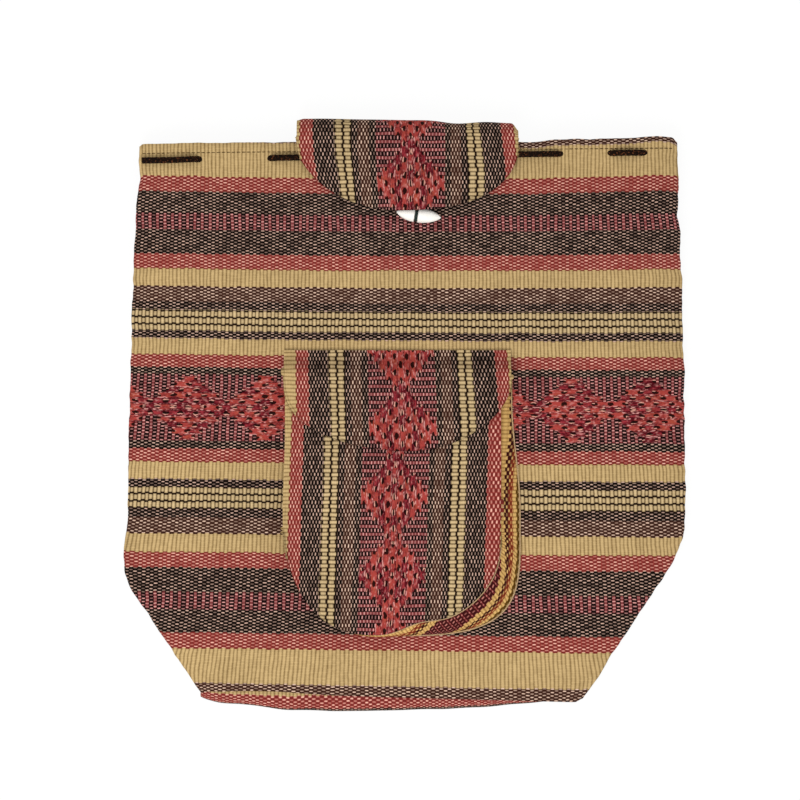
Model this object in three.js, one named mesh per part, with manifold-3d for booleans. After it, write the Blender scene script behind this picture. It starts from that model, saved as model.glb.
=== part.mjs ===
// Woven drawstring backpack, lying empty on its back.
// Millimetres. +X to the right as the front is seen, +Y towards the mouth, +Z up from the floor.
// The origin is on the floor, under the middle of the bag's outline.
import * as THREE from "three";
import { mergeVertices } from "three/addons/utils/BufferGeometryUtils.js";
import Module from "manifold-3d";

const wasm = await Module();
wasm.setup();
const { lerp, clamp, smoothstep } = THREE.MathUtils;

// Cloth
const CLOTH = 2; // thickness of the woven cloth
const SEAM_GAP = 0.3; // clearance between layers that are sewn together or lie on each other
const RIDGE = 0.6; // rise of a ribbed stripe, or of a woven diamond, over the plain weave
const RIDGE_EDGE = 0.8; // width of the slope at a ridge's edge
const DIAMOND_PITCH = 55; // from one woven diamond to the next, along the stripes
const DIAMOND_ACROSS = 46; // width of a woven diamond across the stripes
const DIAMOND_X = 8.6; // middle of a diamond on the body

// Outline of the flat body
const BODY_LENGTH = 394; // foot seam to mouth edge, on the centre line
const HALF_WIDTH = 200; // centre line to the side fold at the widest place
const MOUTH_LEFT = 191.5; // centre line to the left side fold at the mouth
const MOUTH_RIGHT = 193.5; // centre line to the right side fold at the mouth
const FOOT_LEFT = 150; // centre line to the left end of the foot seam
const FOOT_RIGHT = 127.5; // centre line to the right end of the foot seam
const CORNER_LEFT = 74; // height of the slanting left corner
const CORNER_RIGHT = 112; // height of the slanting right corner
const CORNER_SOFT = 9; // rounding where a slant meets the side fold
const FOOT_TILT = -0.02; // slope of the foot seam: its right end lies lower
const MOUTH_TILT = 0.0105; // slope of the mouth edge: its right end lies higher

// Heights of the flat body
const RIM_RISE = 2.4; // underside of the side folds above the floor
const MOUTH_RIM_RISE = 7.2; // the same at the mouth, where the drawstring passes round the fold
const RISE_FROM = 104; // below the mouth, where the cloth starts to rise to the mouth's height
const RISE_TO = 41.6; // below the mouth, where it has risen
const BODY_LOFT = 10; // hollow between front and back on the centre line
const MOUTH_LOFT = 10.7; // the same hollow at the mouth
const FOOT_LOFT = 6; // the same hollow at the foot seam
const FOOT_BULGE = 11; // reach of the bottom panel past the foot seam, where it is fullest
const BULGE_AT = -0.3; // where it is fullest, as a share of the half width
const BULGE_SPAN = 2.5; // width of the fullness, in half widths
const MOUTH_RAMP = 0.6; // share of the length where the hollow starts to widen to the mouth
const FOOT_RAMP = 0.16; // share of the length where it has widened from the foot
const SIDE_FULLNESS = 10; // exponent of the rounding towards the side folds
const RIM_SHARPNESS = 24; // exponent of the back's turn up into the side folds

// Mouth hem and drawstring
const HEM = 7; // depth of the turned hem at the mouth
const CORD = 3.8; // drawstring diameter
const CORD_DROP = 11; // mouth edge to the drawstring's line, on the centre line
const CORD_TILT = 0.0145; // slope of the drawstring's line: its right end lies higher
const SLOT_LENGTH = 12.8; // slit in the cloth for the drawstring, along the hem
const SLOT_SLACK = 0.5; // clearance round the drawstring in its slit
const FRONT_SLOTS = [-193, -146, -98, -50, -16, 30, 64, 110, 144, 171]; // the first opens into the side fold
const BACK_SLOTS = [-193, -150, 100, 150];

// Top flap and its fastening
const FLAP_X = 0.7; // middle of the flap
const FLAP_HALF = 79; // half its width
const FLAP_DROP = 51; // mouth edge to the flap's tip
const FLAP_ROUND = 48; // height of its rounded end
const FLAP_LEFT = 1.8; // fullness of the end's left corner: 2 is a round end
const FLAP_RIGHT = 2.2; // fullness of its right corner
const FLAP_RISE = 15; // reach of its fold past the mouth edge, in its middle
const FLAP_TILT = -0.02; // slope of its fold: the right end lies lower
const FLAP_TONGUE = 26; // part that is sewn behind the mouth
const FLAP_FOLD = 2; // start of its fold past the mouth edge
const FLAP_CLOTH_X = 2.9; // middle of the diamond stripe on the flap
const FLAP_DIAMOND = 20.5; // middle of its lowest diamond above its tip
const FLAP_BUMP = 26; // half width of the bump over the knot and the toggle
const FLAP_SLOPE = 30; // length over which the flap comes down from the drawstring
const TOGGLE_X = 7; // middle of the toggle's band
const TOGGLE_DROP = 53.9; // mouth edge to the toggle's band
const TOGGLE_LENGTH = 32;
const TOGGLE_OFFSET = 1.7; // how far the toggle's own middle lies to the right of its band
const TOGGLE_RADIUS = 5.6;
const TOGGLE_WAIST = 4.2; // radius of the groove round its middle
const TOGGLE_TAPER = 2.2; // exponent of its narrowing along its length
const TOGGLE_BLUNT = 0.75; // exponent of the bluntness of its tips
const TOGGLE_TURN = -8; // degrees, as it lies
const BAND = 1.1; // thickness of the thread band in the groove
const BAND_FIT = 0.2; // clearance of the band on the waist
const SHANK = 1; // radius of the thread shank under the band
const LOOP = 1.7; // diameter of the flap's cord loop
const LOOP_REACH = 24; // from the toggle's shank to the loop's seam under the flap
const LOOP_BEND = 4; // length over which it comes down from the seam
const LOOP_EYE = 6; // length of its end that lies flat round the shank
const LOOP_ARCH = 0.4; // rise of its bend off the front
const KNOT_X = 7;
const KNOT_RADIUS = 6.5;
const KNOT_HEIGHT = 8.2;
const KNOT_DROP = 1.2; // middle of the knot below the drawstring's line

// Pocket
const POCKET_X = -9.5; // middle of the pocket's front
const POCKET_HALF = 77; // half its width
const POCKET_DROP = 166; // mouth edge to the pocket's own mouth
const POCKET_STRAIGHT = 114; // length of its straight sides
const POCKET_ROUND = 73; // height of its rounded end
const POCKET_SKEW = 0.16; // how far the end's lowest place lies to the left, as a share of the half width
const POCKET_SQUARE = 2.45; // fullness of the end's right corner
const POCKET_DEPTH = 10; // hollow between the pocket's front and the bag
const POCKET_MOUTH_DEPTH = 7; // the same hollow at the pocket's mouth
const POCKET_CLOTH_X = -7.8; // middle of the diamond stripe on the pocket
const POCKET_DIAMOND = 30; // middle of its lowest diamond below the end of its straight sides
const GUSSET_SLIP = 8; // how far the gusset's foot lies to the right of the pocket's front
const GUSSET_SPREAD = 5.5; // how far the gusset's foot is wider than the front
const GUSSET_SQUARE = 3.5; // fullness of the right corner of the gusset's foot
const GUSSET_CLIMB = 0.96; // share of the pocket's straight sides that the gusset goes up
const POCKET_FLAP_X = -6.5;
const POCKET_FLAP_HALF = 81;
const POCKET_FLAP_DROP = 149.5; // mouth edge to the flap's seam
const POCKET_FLAP_STRAIGHT = 25; // length of the flap's straight sides
const POCKET_FLAP_ROUND = 47; // height of its rounded end
const POCKET_FLAP_SKEW = -0.07; // the same for the flap: below 0, it lies to the right
const POCKET_FLAP_LEFT = 2.2; // fullness of its left corner
const POCKET_FLAP_RIGHT = 1.7; // fullness of its right corner
const POCKET_FLAP_SEAM = 3; // width of the flap's seam on the bag
const POCKET_FLAP_CLOTH_X = -3;
const POCKET_FLAP_DIAMOND = 16.5; // middle of its lowest diamond above its tip

// Shoulder straps
const STRAP_WIDTH = 38;
const STRAP_THICK = 3.2; // folded cloth
const STRAP_TOP_X = 34; // centre line to the strap's sewn upper end
const STRAP_FOOT_X = 114; // centre line to its sewn lower end
const STRAP_FOOT_RISE = 46; // lower end above the foot seam
const STRAP_BOW = 172; // centre line to the pull of its outward bow
const STRAP_EASE = 20; // cloth round a strap that is lifted with it
const STRAP_FALL = 30; // width over which the back sinks to the floor beside it

const MOUTH = BODY_LENGTH / 2;
const FOOT = -BODY_LENGTH / 2;
const cordLine = (x) => MOUTH - CORD_DROP + CORD_TILT * x;
const HEM_LIFT = CORD + 3 * SEAM_GAP; // the back's hem lies on the drawstring and the flap's tongue
const STRAP_LIFT = STRAP_THICK + SEAM_GAP;
const PLAIN_STEP = 16; // widest flat face of a piece across its stripes
const BODY_STEP = 33; // longest flat face of the body along its length

// Woven drafts: the stripes of the cloth from edge to edge, each with its width.
// rib is raised all over, lines is that many raised lines, plain is the ground weave.
const BODY_DRAFT = [
  ["rib", 25.8], ["plain", 11.4], ["plain", 14.3], ["plain", 13.6], ["plain", 16.5], ["plain", 10.7],
  ["rib", 12.2], ["plain", 9.3], ["plain", 6.4], ["lines", 15, 3], ["plain", 7.2], ["rib", 10.7],
  ["plain", 8.6], ["plain", 5.7], ["diamonds", 46.5], ["plain", 5.7], ["plain", 9.3], ["rib", 12.9],
  ["plain", 5], ["lines", 15.7, 3], ["plain", 6.4], ["plain", 11.4], ["rib", 12.9], ["plain", 11.4],
  ["plain", 17.9], ["plain", 11.4], ["plain", 17.2], ["plain", 11.4], ["rib", 25.8], ["plain", 5.6],
];
const UPRIGHT_HALF_DRAFT = [
  ["diamonds", 24.2], ["plain", 16.5], ["lines", 11.6, 2], ["plain", 23.5], ["rib", 40],
];

// A ridge's knots: [place across the cloth, height], from its start over its width.
function ridgeKnots(start, width) {
  const end = start + width;
  return [[start, 0], [start + RIDGE_EDGE, RIDGE], [end - RIDGE_EDGE, RIDGE], [end, 0]];
}

// The relief of a draft as knots across the cloth, from its first edge.
function reliefKnots(draft) {
  let start = 0;
  return draft.flatMap(([weave, width, lines = 1]) => {
    const from = start;
    start += width;
    if (weave === "plain" || weave === "diamonds") return [];
    const step = width / lines;
    return Array.from({ length: lines }, (_, line) => ridgeKnots(from + line * step, step)).flat();
  });
}

// Height of the relief at a place across the cloth.
function reliefAt(knots, place) {
  const next = knots.findIndex(([at]) => at > place);
  if (next < 0) return knots.at(-1)[1];
  if (next === 0) return knots[0][1];
  const [[from, low], [to, high]] = [knots[next - 1], knots[next]];
  return lerp(low, high, (place - from) / (to - from));
}

// The draft of the flaps and the pocket, whose stripes run up and down, mirrored about its diamond stripe.
const uprightHalf = reliefKnots(UPRIGHT_HALF_DRAFT);
const uprightKnots = [...uprightHalf.map(([at, rise]) => [-at, rise]).reverse(), ...uprightHalf];

// Closed solid between two faces over a grid: top(u, v) and under(u, v) give its points.
function closedShell(us, vs, top, under) {
  const columns = us.length;
  const rows = vs.length;
  const points = [top, under].flatMap((face) => vs.flatMap((v) => us.flatMap((u) => face(u, v))));
  const index = [];
  const at = (side, i, j) => (side * rows + j) * columns + i;
  const quad = (a, b, c, d) => index.push(a, b, c, a, c, d);
  const [lastColumn, lastRow] = [columns - 1, rows - 1];
  for (let j = 0; j < lastRow; j++) {
    for (let i = 0; i < lastColumn; i++) {
      quad(at(0, i, j), at(0, i + 1, j), at(0, i + 1, j + 1), at(0, i, j + 1));
      quad(at(1, i, j), at(1, i, j + 1), at(1, i + 1, j + 1), at(1, i + 1, j));
    }
    quad(at(1, 0, j + 1), at(1, 0, j), at(0, 0, j), at(0, 0, j + 1));
    quad(at(1, lastColumn, j), at(1, lastColumn, j + 1), at(0, lastColumn, j + 1), at(0, lastColumn, j));
  }
  for (let i = 0; i < lastColumn; i++) {
    quad(at(1, i, 0), at(1, i + 1, 0), at(0, i + 1, 0), at(0, i, 0));
    quad(at(1, i + 1, lastRow), at(1, i, lastRow), at(0, i, lastRow), at(0, i + 1, lastRow));
  }
  return new THREE.BufferGeometry()
    .setAttribute("position", new THREE.Float32BufferAttribute(points, 3))
    .setIndex(index);
}

// A closed geometry as a solid that can be joined and cut.
function solidOf(geometry) {
  const bare = geometry.clone();
  bare.deleteAttribute("normal");
  bare.deleteAttribute("uv");
  const merged = mergeVertices(bare);
  const vertProperties = merged.attributes.position.array;
  const triVerts = new Uint32Array(merged.index.array);
  return new wasm.Manifold(new wasm.Mesh({ numProp: 3, vertProperties, triVerts }));
}

// A joined or cut solid as a geometry.
function geometryOf(solid) {
  const { vertProperties, triVerts } = solid.getMesh();
  const geometry = new THREE.BufferGeometry()
    .setAttribute("position", new THREE.BufferAttribute(vertProperties, 3))
    .setIndex(new THREE.BufferAttribute(triVerts, 1));
  geometry.computeVertexNormals();
  return geometry;
}

const range = (count, low, high) => Array.from({ length: count + 1 }, (_, k) => lerp(low, high, k / count));
const roundRange = (count) => range(count, -1, 1).map((t) => Math.sin((t * Math.PI) / 2));

// Places in rising order, each once, with more of them wherever two are further apart than a step.
function filled(places, step) {
  const sorted = [...places].sort((a, b) => a - b).filter((at, k, all) => k === 0 || at - all[k - 1] > 1e-4);
  return sorted.flatMap((at, k) => {
    const gap = (sorted[k + 1] ?? at) - at;
    const parts = Math.max(1, Math.ceil(gap / step));
    return range(parts, at, at + gap).slice(0, parts);
  });
}

// The smaller of two values, with the change from one to the other rounded over a width.
function softMin(a, b, width) {
  const share = clamp(0.5 + (0.5 * (b - a)) / width, 0, 1);
  return lerp(b, a, share) - width * share * (1 - share);
}

// Plan of the flat body: u runs from -1 at the left side fold to 1 at the right, and v from 0 at the foot
// to 1 at the mouth.
function halfWidth(v, onRight) {
  const foot = onRight ? FOOT_RIGHT : FOOT_LEFT;
  const corner = (onRight ? CORNER_RIGHT : CORNER_LEFT) / BODY_LENGTH;
  const mouth = onRight ? MOUTH_RIGHT : MOUTH_LEFT;
  const above = clamp((v - corner) / (1 - corner), 0, 1);
  const side = lerp(HALF_WIDTH, mouth, above * above);
  const slant = foot + ((HALF_WIDTH - foot) * v) / corner;
  return softMin(side, slant, CORNER_SOFT);
}
const footY = (x) => FOOT + FOOT_TILT * x;
const mouthY = (x) => MOUTH + MOUTH_TILT * x;
function toPlan(u, v) {
  const x = u * halfWidth(v, u > 0);
  return [x, lerp(footY(x), mouthY(x), v)];
}
function toCloth(x, y) {
  const v = clamp((y - footY(x)) / (mouthY(x) - footY(x)), 0, 1);
  return [clamp(x / halfWidth(v, x > 0), -1, 1), v];
}

// Shoulder strap's centre line on the floor.
function strapLine(side) {
  return new THREE.CubicBezierCurve(
    new THREE.Vector2(side * STRAP_TOP_X, MOUTH - FLAP_TONGUE - STRAP_WIDTH / 2),
    new THREE.Vector2(side * (STRAP_TOP_X + STRAP_WIDTH), MOUTH - FLAP_TONGUE - 2 * STRAP_WIDTH),
    new THREE.Vector2(side * STRAP_BOW, FOOT + 4 * STRAP_FOOT_RISE),
    new THREE.Vector2(side * STRAP_FOOT_X, FOOT + STRAP_FOOT_RISE),
  );
}
const strapPoints = [-1, 1].flatMap((side) => strapLine(side).getPoints(24));

// Heights of the body's cloth
const lens = (u) => Math.sqrt(1 - Math.abs(u) ** SIDE_FULLNESS);
const hemShare = (v) => smoothstep((v - 1) * BODY_LENGTH, -RISE_FROM, -RISE_TO);
const rimRise = (v) => lerp(RIM_RISE, MOUTH_RIM_RISE, hemShare(v));
const turnedHem = (u, v) => (v * BODY_LENGTH > BODY_LENGTH - HEM - RIDGE_EDGE ? CLOTH * lens(u) : 0);
function loft(u, v) {
  const hollow = lerp(BODY_LOFT, MOUTH_LOFT, smoothstep(v, MOUTH_RAMP, 1));
  return lerp(FOOT_LOFT, hollow, smoothstep(v, 0, FOOT_RAMP)) * lens(u);
}
function strapShare(x, y) {
  const away = Math.min(...strapPoints.map((p) => Math.hypot(p.x - x, p.y - y)));
  return 1 - smoothstep(away, STRAP_WIDTH / 2 + STRAP_EASE, STRAP_WIDTH / 2 + STRAP_EASE + STRAP_FALL);
}
function backUnder(u, v) {
  const lying = Math.max(STRAP_LIFT * strapShare(...toPlan(u, v)), HEM_LIFT * hemShare(v));
  return lerp(lying, rimRise(v), Math.abs(u) ** RIM_SHARPNESS);
}
const frontUnder = (u, v) => rimRise(v) + CLOTH + 2 * SEAM_GAP + loft(u, v);
const frontFace = (x, y) => frontUnder(...toCloth(x, y)) + CLOTH;
const onFront = (x, y) => frontFace(x, y) + RIDGE + SEAM_GAP; // where something lies on the front's ridges

const hemRows = [HEM, HEM + RIDGE_EDGE].map((drop) => 1 - drop / BODY_LENGTH);

// Slits for the drawstring, as cutters through a panel.
function slits(places, height) {
  return places.map((x) => {
    const slit = new THREE.BoxGeometry(SLOT_LENGTH, CORD + 2 * SLOT_SLACK, 6 * CLOTH);
    return solidOf(slit.translate(x, cordLine(x), height(x, cordLine(x))));
  });
}

// A woven diamond as a low lozenge that stands on a face.
function diamond(x, y, halfX, halfY, face, cells) {
  const point = (size, rise) => (a, b) => {
    const [px, py] = [x + (size * halfX * (a - b)) / 2, y + (size * halfY * (a + b)) / 2];
    return [px, py, face(px, py) + rise];
  };
  const inset = 1 - (2 * RIDGE_EDGE) / Math.min(halfX, halfY);
  const grid = range(cells, -1, 1);
  return solidOf(closedShell(grid, grid, point(inset, RIDGE), point(1, -CLOTH / 2)));
}
const joined = (solids) => solids.reduce((whole, solid) => whole.add(solid));

// Front panel: cross stripes from the mouth to the foot, a row of diamonds, and a turned hem with slits.
function frontPanel() {
  const knots = reliefKnots(BODY_DRAFT);
  const draftLength = BODY_DRAFT.reduce((sum, [, width]) => sum + width, 0);
  const rows = filled([0, ...hemRows, ...knots.map(([at]) => 1 - at / draftLength)], BODY_STEP / BODY_LENGTH);
  const columns = roundRange(10);
  const face = (height) => (u, v) => [...toPlan(u, v), height(u, v)];
  const top = face((u, v) => frontUnder(u, v) + CLOTH + reliefAt(knots, (1 - v) * draftLength));
  const under = face((u, v) => frontUnder(u, v) - turnedHem(u, v));
  const panel = solidOf(closedShell(columns, rows, top, under));

  const before = BODY_DRAFT.slice(0, BODY_DRAFT.findIndex(([weave]) => weave === "diamonds") + 1);
  const band = before.reduce((sum, [, width]) => sum + width, 0) - before.at(-1)[1] / 2;
  const bandV = 1 - band / draftLength;
  const outline = solidOf(closedShell(columns, [0, bandV, 1], face(() => 4 * BODY_LOFT), face(() => 0)));
  const count = Math.ceil(HALF_WIDTH / DIAMOND_PITCH);
  const diamonds = range(2 * count, -count, count).map((k) => {
    const x = DIAMOND_X + k * DIAMOND_PITCH;
    const y = lerp(footY(x), mouthY(x), bandV);
    return diamond(x, y, DIAMOND_PITCH / 2, DIAMOND_ACROSS / 2, frontFace, 2).intersect(outline);
  });
  const woven = joined([panel, ...diamonds]);
  return geometryOf(woven.subtract(joined(slits(FRONT_SLOTS, frontFace))));
}

// Back panel: lies on the floor, and over the straps, the drawstring and the flap's tongue.
function backPanel() {
  const rows = filled([0, ...hemRows, 1], BODY_STEP / BODY_LENGTH);
  const columns = [-1, -0.97, ...range(13, -0.92, 0.92), 0.97, 1];
  const under = (u, v) => [...toPlan(u, v), backUnder(u, v)];
  const top = (u, v) => [...toPlan(u, v), backUnder(u, v) + CLOTH + turnedHem(u, v)];
  const panel = solidOf(closedShell(columns, rows, top, under));
  return geometryOf(panel.subtract(joined(slits(BACK_SLOTS, (x, y) => backUnder(...toCloth(x, y))))));
}

// Bottom panel: a bulging strip from the front's foot seam round to the back's.
function bottomPanel() {
  const ends = 0.97; // the strip ends short of the corners, where front and back meet
  const point = (inner) => (u, turn) => {
    const [x, y] = toPlan(u, 0);
    const high = frontUnder(u, 0) + (inner ? 0 : CLOTH);
    const low = backUnder(u, 0) + (inner ? CLOTH : 0);
    const fullness = Math.max(0, Math.cos(((u - BULGE_AT) * Math.PI) / BULGE_SPAN)) * lens(u);
    const reach = FOOT_BULGE * fullness + (inner ? 0.25 * CLOTH : 1.25 * CLOTH);
    return [x, y - SEAM_GAP - reach * Math.cos(turn), lerp(low, high, (1 + Math.sin(turn)) / 2)];
  };
  const turns = range(5, -Math.PI / 2, Math.PI / 2);
  return closedShell(range(16, -ends, ends), turns, point(false), point(true));
}

// Columns for a piece cut from the upright cloth: its own edges, the draft's knots and places between them.
function uprightColumns(low, high, clothX) {
  const inside = uprightKnots.map(([at]) => clothX + at).filter((x) => x > low + 1 && x < high - 1);
  return filled([low, ...inside, high], PLAIN_STEP);
}
const uprightRelief = (x, clothX) => reliefAt(uprightKnots, x - clothX);

// How far a rounded end reaches at x, from its straight sides, for a piece of that half width. A skew moves
// its lowest place to the left, and a power over 2 fills out its left or right corner.
function roundEnd(x, middle, half, height, { skew = 0, left = 2, right = 2 } = {}) {
  const across = clamp((x - middle) / half, -1, 1);
  const power = lerp(left, right, (1 + across) / 2);
  const away = Math.abs(across + skew * (1 - across * across));
  return height * (1 - away ** power) ** (1 / power);
}

// Diamonds up the middle of an upright piece, cut to its outline.
function uprightDiamonds(clothX, places, face, outline) {
  return places.map((y) => {
    return diamond(clothX, y, DIAMOND_ACROSS / 2, DIAMOND_PITCH / 2, face, 4).intersect(outline);
  });
}

// Top flap: sewn behind the mouth, folded over it, and bumped over the knot and the toggle.
const toggleY = MOUTH - TOGGLE_DROP;
const shankHeight = LOOP + 2 * SEAM_GAP;
function flapLift(x, y) {
  const onCord = (CORD + 4 * SEAM_GAP) * smoothstep(y, cordLine(x) - FLAP_SLOPE, cordLine(x) - CORD);
  const overToggle = shankHeight + 2 * TOGGLE_RADIUS + 2 * SEAM_GAP;
  const pastToggle = smoothstep(y, toggleY + TOGGLE_LENGTH / 2, cordLine(x));
  const middle = lerp(overToggle, KNOT_HEIGHT + SEAM_GAP, pastToggle);
  return lerp(onCord, middle, Math.exp(-(((x - TOGGLE_X) / FLAP_BUMP) ** 2)));
}
const flapUnder = (x, y) => onFront(x, y) + flapLift(x, y);
function topFlap() {
  const foldStart = MOUTH + FLAP_FOLD;
  const tongueZ = HEM_LIFT - SEAM_GAP - CLOTH / 2;
  const shape = { left: FLAP_LEFT, right: FLAP_RIGHT };
  const tipY = (x) => MOUTH - FLAP_DROP + FLAP_ROUND - roundEnd(x, FLAP_X, FLAP_HALF, FLAP_ROUND, shape);
  const upper = (x, share) => {
    const y = lerp(tipY(x), foldStart, share);
    return { y, z: flapUnder(x, y) + CLOTH / 2, across: 0, up: 1 };
  };
  const fold = (x, turn) => {
    const from = upper(x, 1).z;
    const reach = FLAP_RISE + FLAP_TILT * (x - FLAP_X) - (foldStart - MOUTH) - CLOTH / 2;
    const rise = (from - tongueZ) / 2;
    const [across, up] = [Math.sin(turn) / reach, Math.cos(turn) / rise];
    const size = Math.hypot(across, up);
    const y = foldStart + reach * Math.sin(turn);
    return { y, z: tongueZ + rise * (1 + Math.cos(turn)), across: across / size, up: up / size };
  };
  const tongue = (x, share) => {
    return { y: lerp(foldStart, MOUTH - FLAP_TONGUE, share), z: tongueZ, across: 0, up: -1 };
  };
  const course = [
    ...range(7, 0, 1).map((share) => (x) => upper(x, share)),
    ...range(6, 0, Math.PI).slice(1).map((turn) => (x) => fold(x, turn)),
    ...range(2, 0, 1).slice(1).map((share) => (x) => tongue(x, share)),
  ];
  const face = (side) => (x, step) => {
    const at = course[step](x);
    const off = (side * CLOTH) / 2 + (side > 0 ? uprightRelief(x, FLAP_CLOTH_X) : 0);
    return [x, at.y + off * at.across, at.z + off * at.up];
  };
  const columns = uprightColumns(FLAP_X - FLAP_HALF, FLAP_X + FLAP_HALF, FLAP_CLOTH_X);
  const steps = course.map((_, step) => step);
  const cloth = solidOf(closedShell(columns, steps, face(1), face(-1)));
  const plan = (z) => (x, share) => [x, lerp(tipY(x), foldStart, share), z];
  const outline = solidOf(closedShell(columns, [0, 1], plan(10 * BODY_LOFT), plan(0)));
  const faceZ = (x, y) => flapUnder(x, y) + CLOTH;
  const places = [0, 1].map((k) => MOUTH - FLAP_DROP + FLAP_DIAMOND + k * DIAMOND_PITCH);
  const diamonds = uprightDiamonds(FLAP_CLOTH_X, places, faceZ, outline);
  return geometryOf(joined([cloth, ...diamonds]));
}

// A round cord along a curve, whose steps follow the curve's own points.
class Route extends THREE.CatmullRomCurve3 {
  getUtoTmapping(u) {
    return u;
  }
}
function cord(points, diameter, stepsPerPoint) {
  const route = new Route(points.map((p) => new THREE.Vector3(...p)), false, "catmullrom", 0.3);
  const sides = range(8, 0, 2 * Math.PI).slice(0, 8);
  const round = sides.map((a) => new THREE.Vector2(Math.cos(a), Math.sin(a)).multiplyScalar(diameter / 2));
  const steps = stepsPerPoint * (points.length - 1);
  return new THREE.ExtrudeGeometry(new THREE.Shape(round), { steps, extrudePath: route });
}

// Cord loop under the flap: from its seam down to the front, round the toggle's shank and back.
function flapLoop() {
  const legX = SHANK + 2 * SEAM_GAP + LOOP / 2;
  const lying = onFront(TOGGLE_X, toggleY) + LOOP / 2;
  const seamY = toggleY + LOOP_REACH;
  const seamZ = flapUnder(TOGGLE_X + legX, seamY) - LOOP / 2 - SEAM_GAP;
  const leg = [
    [legX, seamY, seamZ],
    [legX, seamY - 1, lerp(lying, seamZ, 0.5)],
    [legX, seamY - LOOP_BEND, onFront(TOGGLE_X, seamY - LOOP_BEND) + LOOP / 2 + LOOP_ARCH],
    [legX, toggleY + LOOP_EYE, onFront(TOGGLE_X, toggleY + LOOP_EYE) + LOOP / 2],
    [legX, toggleY, lying],
    [legX * 0.8, toggleY - legX * 0.7, lying],
  ];
  const far = [[0, toggleY - legX * 1.1, lying]];
  const other = leg.map(([x, y, z]) => [-x, y, z]).reverse();
  return cord([...leg, ...far, ...other].map(([x, y, z]) => [TOGGLE_X + x, y, z]), LOOP, 1);
}

// Toggle: a turned spindle with a groove round its waist, about its own long axis.
function spindle() {
  const groove = BAND + SEAM_GAP;
  const arm = (length) => {
    const body = range(6, 0, 1).slice(0, 6).map((t) => {
      const along = lerp(groove, length, t);
      const taper = (1 - (along / length) ** TOGGLE_TAPER) ** TOGGLE_BLUNT;
      return new THREE.Vector2(TOGGLE_RADIUS * taper, along);
    });
    return [new THREE.Vector2(TOGGLE_WAIST, groove * 0.7), ...body, new THREE.Vector2(0, length)];
  };
  const left = arm(TOGGLE_LENGTH / 2 - TOGGLE_OFFSET);
  const right = arm(TOGGLE_LENGTH / 2 + TOGGLE_OFFSET).map((p) => new THREE.Vector2(p.x, -p.y));
  return new THREE.LatheGeometry([...right.reverse(), ...left], 14);
}

// Band of thread in the toggle's groove.
function band() {
  const inner = TOGGLE_WAIST + BAND_FIT;
  const profile = [[0, -1], [1, -1], [1.4, 0], [1, 1], [0, 1], [0, -1]];
  const points = profile.map(([x, y]) => new THREE.Vector2(inner + (x * BAND) / 1.4, (y * BAND) / 2));
  return new THREE.LatheGeometry(points, 14);
}

// Thread shank between the front and the toggle's band.
const toggleZ = onFront(TOGGLE_X, toggleY) + shankHeight + TOGGLE_RADIUS;
function shank() {
  const low = onFront(TOGGLE_X, toggleY);
  const high = toggleZ - TOGGLE_WAIST - BAND_FIT - BAND - SEAM_GAP;
  const thread = new THREE.CylinderGeometry(SHANK, SHANK, high - low, 10);
  return thread.rotateX(Math.PI / 2).translate(TOGGLE_X, toggleY, (low + high) / 2);
}

// Drawstring: a running stitch round the mouth, from the knot under the flap round the left side fold,
// along the back, through a slack bight inside the right side fold and back to the knot.
const DRAWSTRING = [
  [0.2, 184.8, 26.6], [-10, 185.7, 25.3], [-22, 185.7, 18.1], [-44, 185.4, 18.1], [-56, 185.2, 25.3],
  [-92, 184.7, 25.3], [-104, 184.5, 18.1], [-140, 184, 17.8], [-152, 183.8, 24.9], [-167, 183.2, 24.1],
  [-179, 183.1, 22.5], [-185.5, 183.1, 20.8], [-189.3, 183.1, 18.6], [-190.4, 183.1, 15],
  [-190.4, 183.1, 9.5], [-189.2, 183.1, 5.3], [-186, 183.1, 3.5], [-178, 183.2, 2.5], [-156, 183.7, 2.4],
  [-144, 183.9, 9], [-50, 185.3, 9], [30, 186.4, 9], [94, 187.4, 9], [106, 187.5, 2.4], [144, 188.1, 2.4],
  [156, 187.6, 9.1], [164, 178, 9.3], [172, 169.5, 9.7], [180, 169.5, 10.2], [184, 177, 11.2],
  [181.5, 184.5, 12.8], [177, 188.3, 14.8], [165, 188.4, 24.2], [150, 188.2, 25], [138, 188, 17.8],
  [116, 187.7, 18.1], [104, 187.5, 25.3], [70, 187, 25.3], [58, 186.8, 18.1], [36, 186.5, 18.1],
  [24, 186.3, 25.3], [13.8, 185.2, 26.6],
];
const TAILS = [
  [[-1, -1.9, 2.5], [-4, -8.9, 2], [-10, -15.9, 2], [-15, -23.9, 2]],
  [[1, -1.9, 2.5], [6, -8.9, 2], [11, -15.9, 2], [16, -23.9, 2]],
];

// Knot of the drawstring's ends, with two tails that hang from it. Their points are taken from its foot.
function knot() {
  const half = range(6, -Math.PI / 2, Math.PI / 2);
  const [radius, rise] = [KNOT_RADIUS, KNOT_HEIGHT / 2];
  const profile = half.map((a) => new THREE.Vector2(radius * Math.cos(a), rise * Math.sin(a)));
  profile[0].x = 0;
  profile.at(-1).x = 0;
  const lump = new THREE.LatheGeometry(profile, 12).rotateX(Math.PI / 2);
  const knotY = cordLine(KNOT_X) - KNOT_DROP;
  const foot = onFront(KNOT_X, knotY);
  lump.translate(KNOT_X, knotY, foot + rise);
  const tails = TAILS.map((tail) => tail.map(([x, y, z]) => [KNOT_X + x, knotY + y, foot + z]));
  return geometryOf(joined([lump, ...tails.map((tail) => cord(tail, CORD, 2))].map(solidOf)));
}

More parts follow.
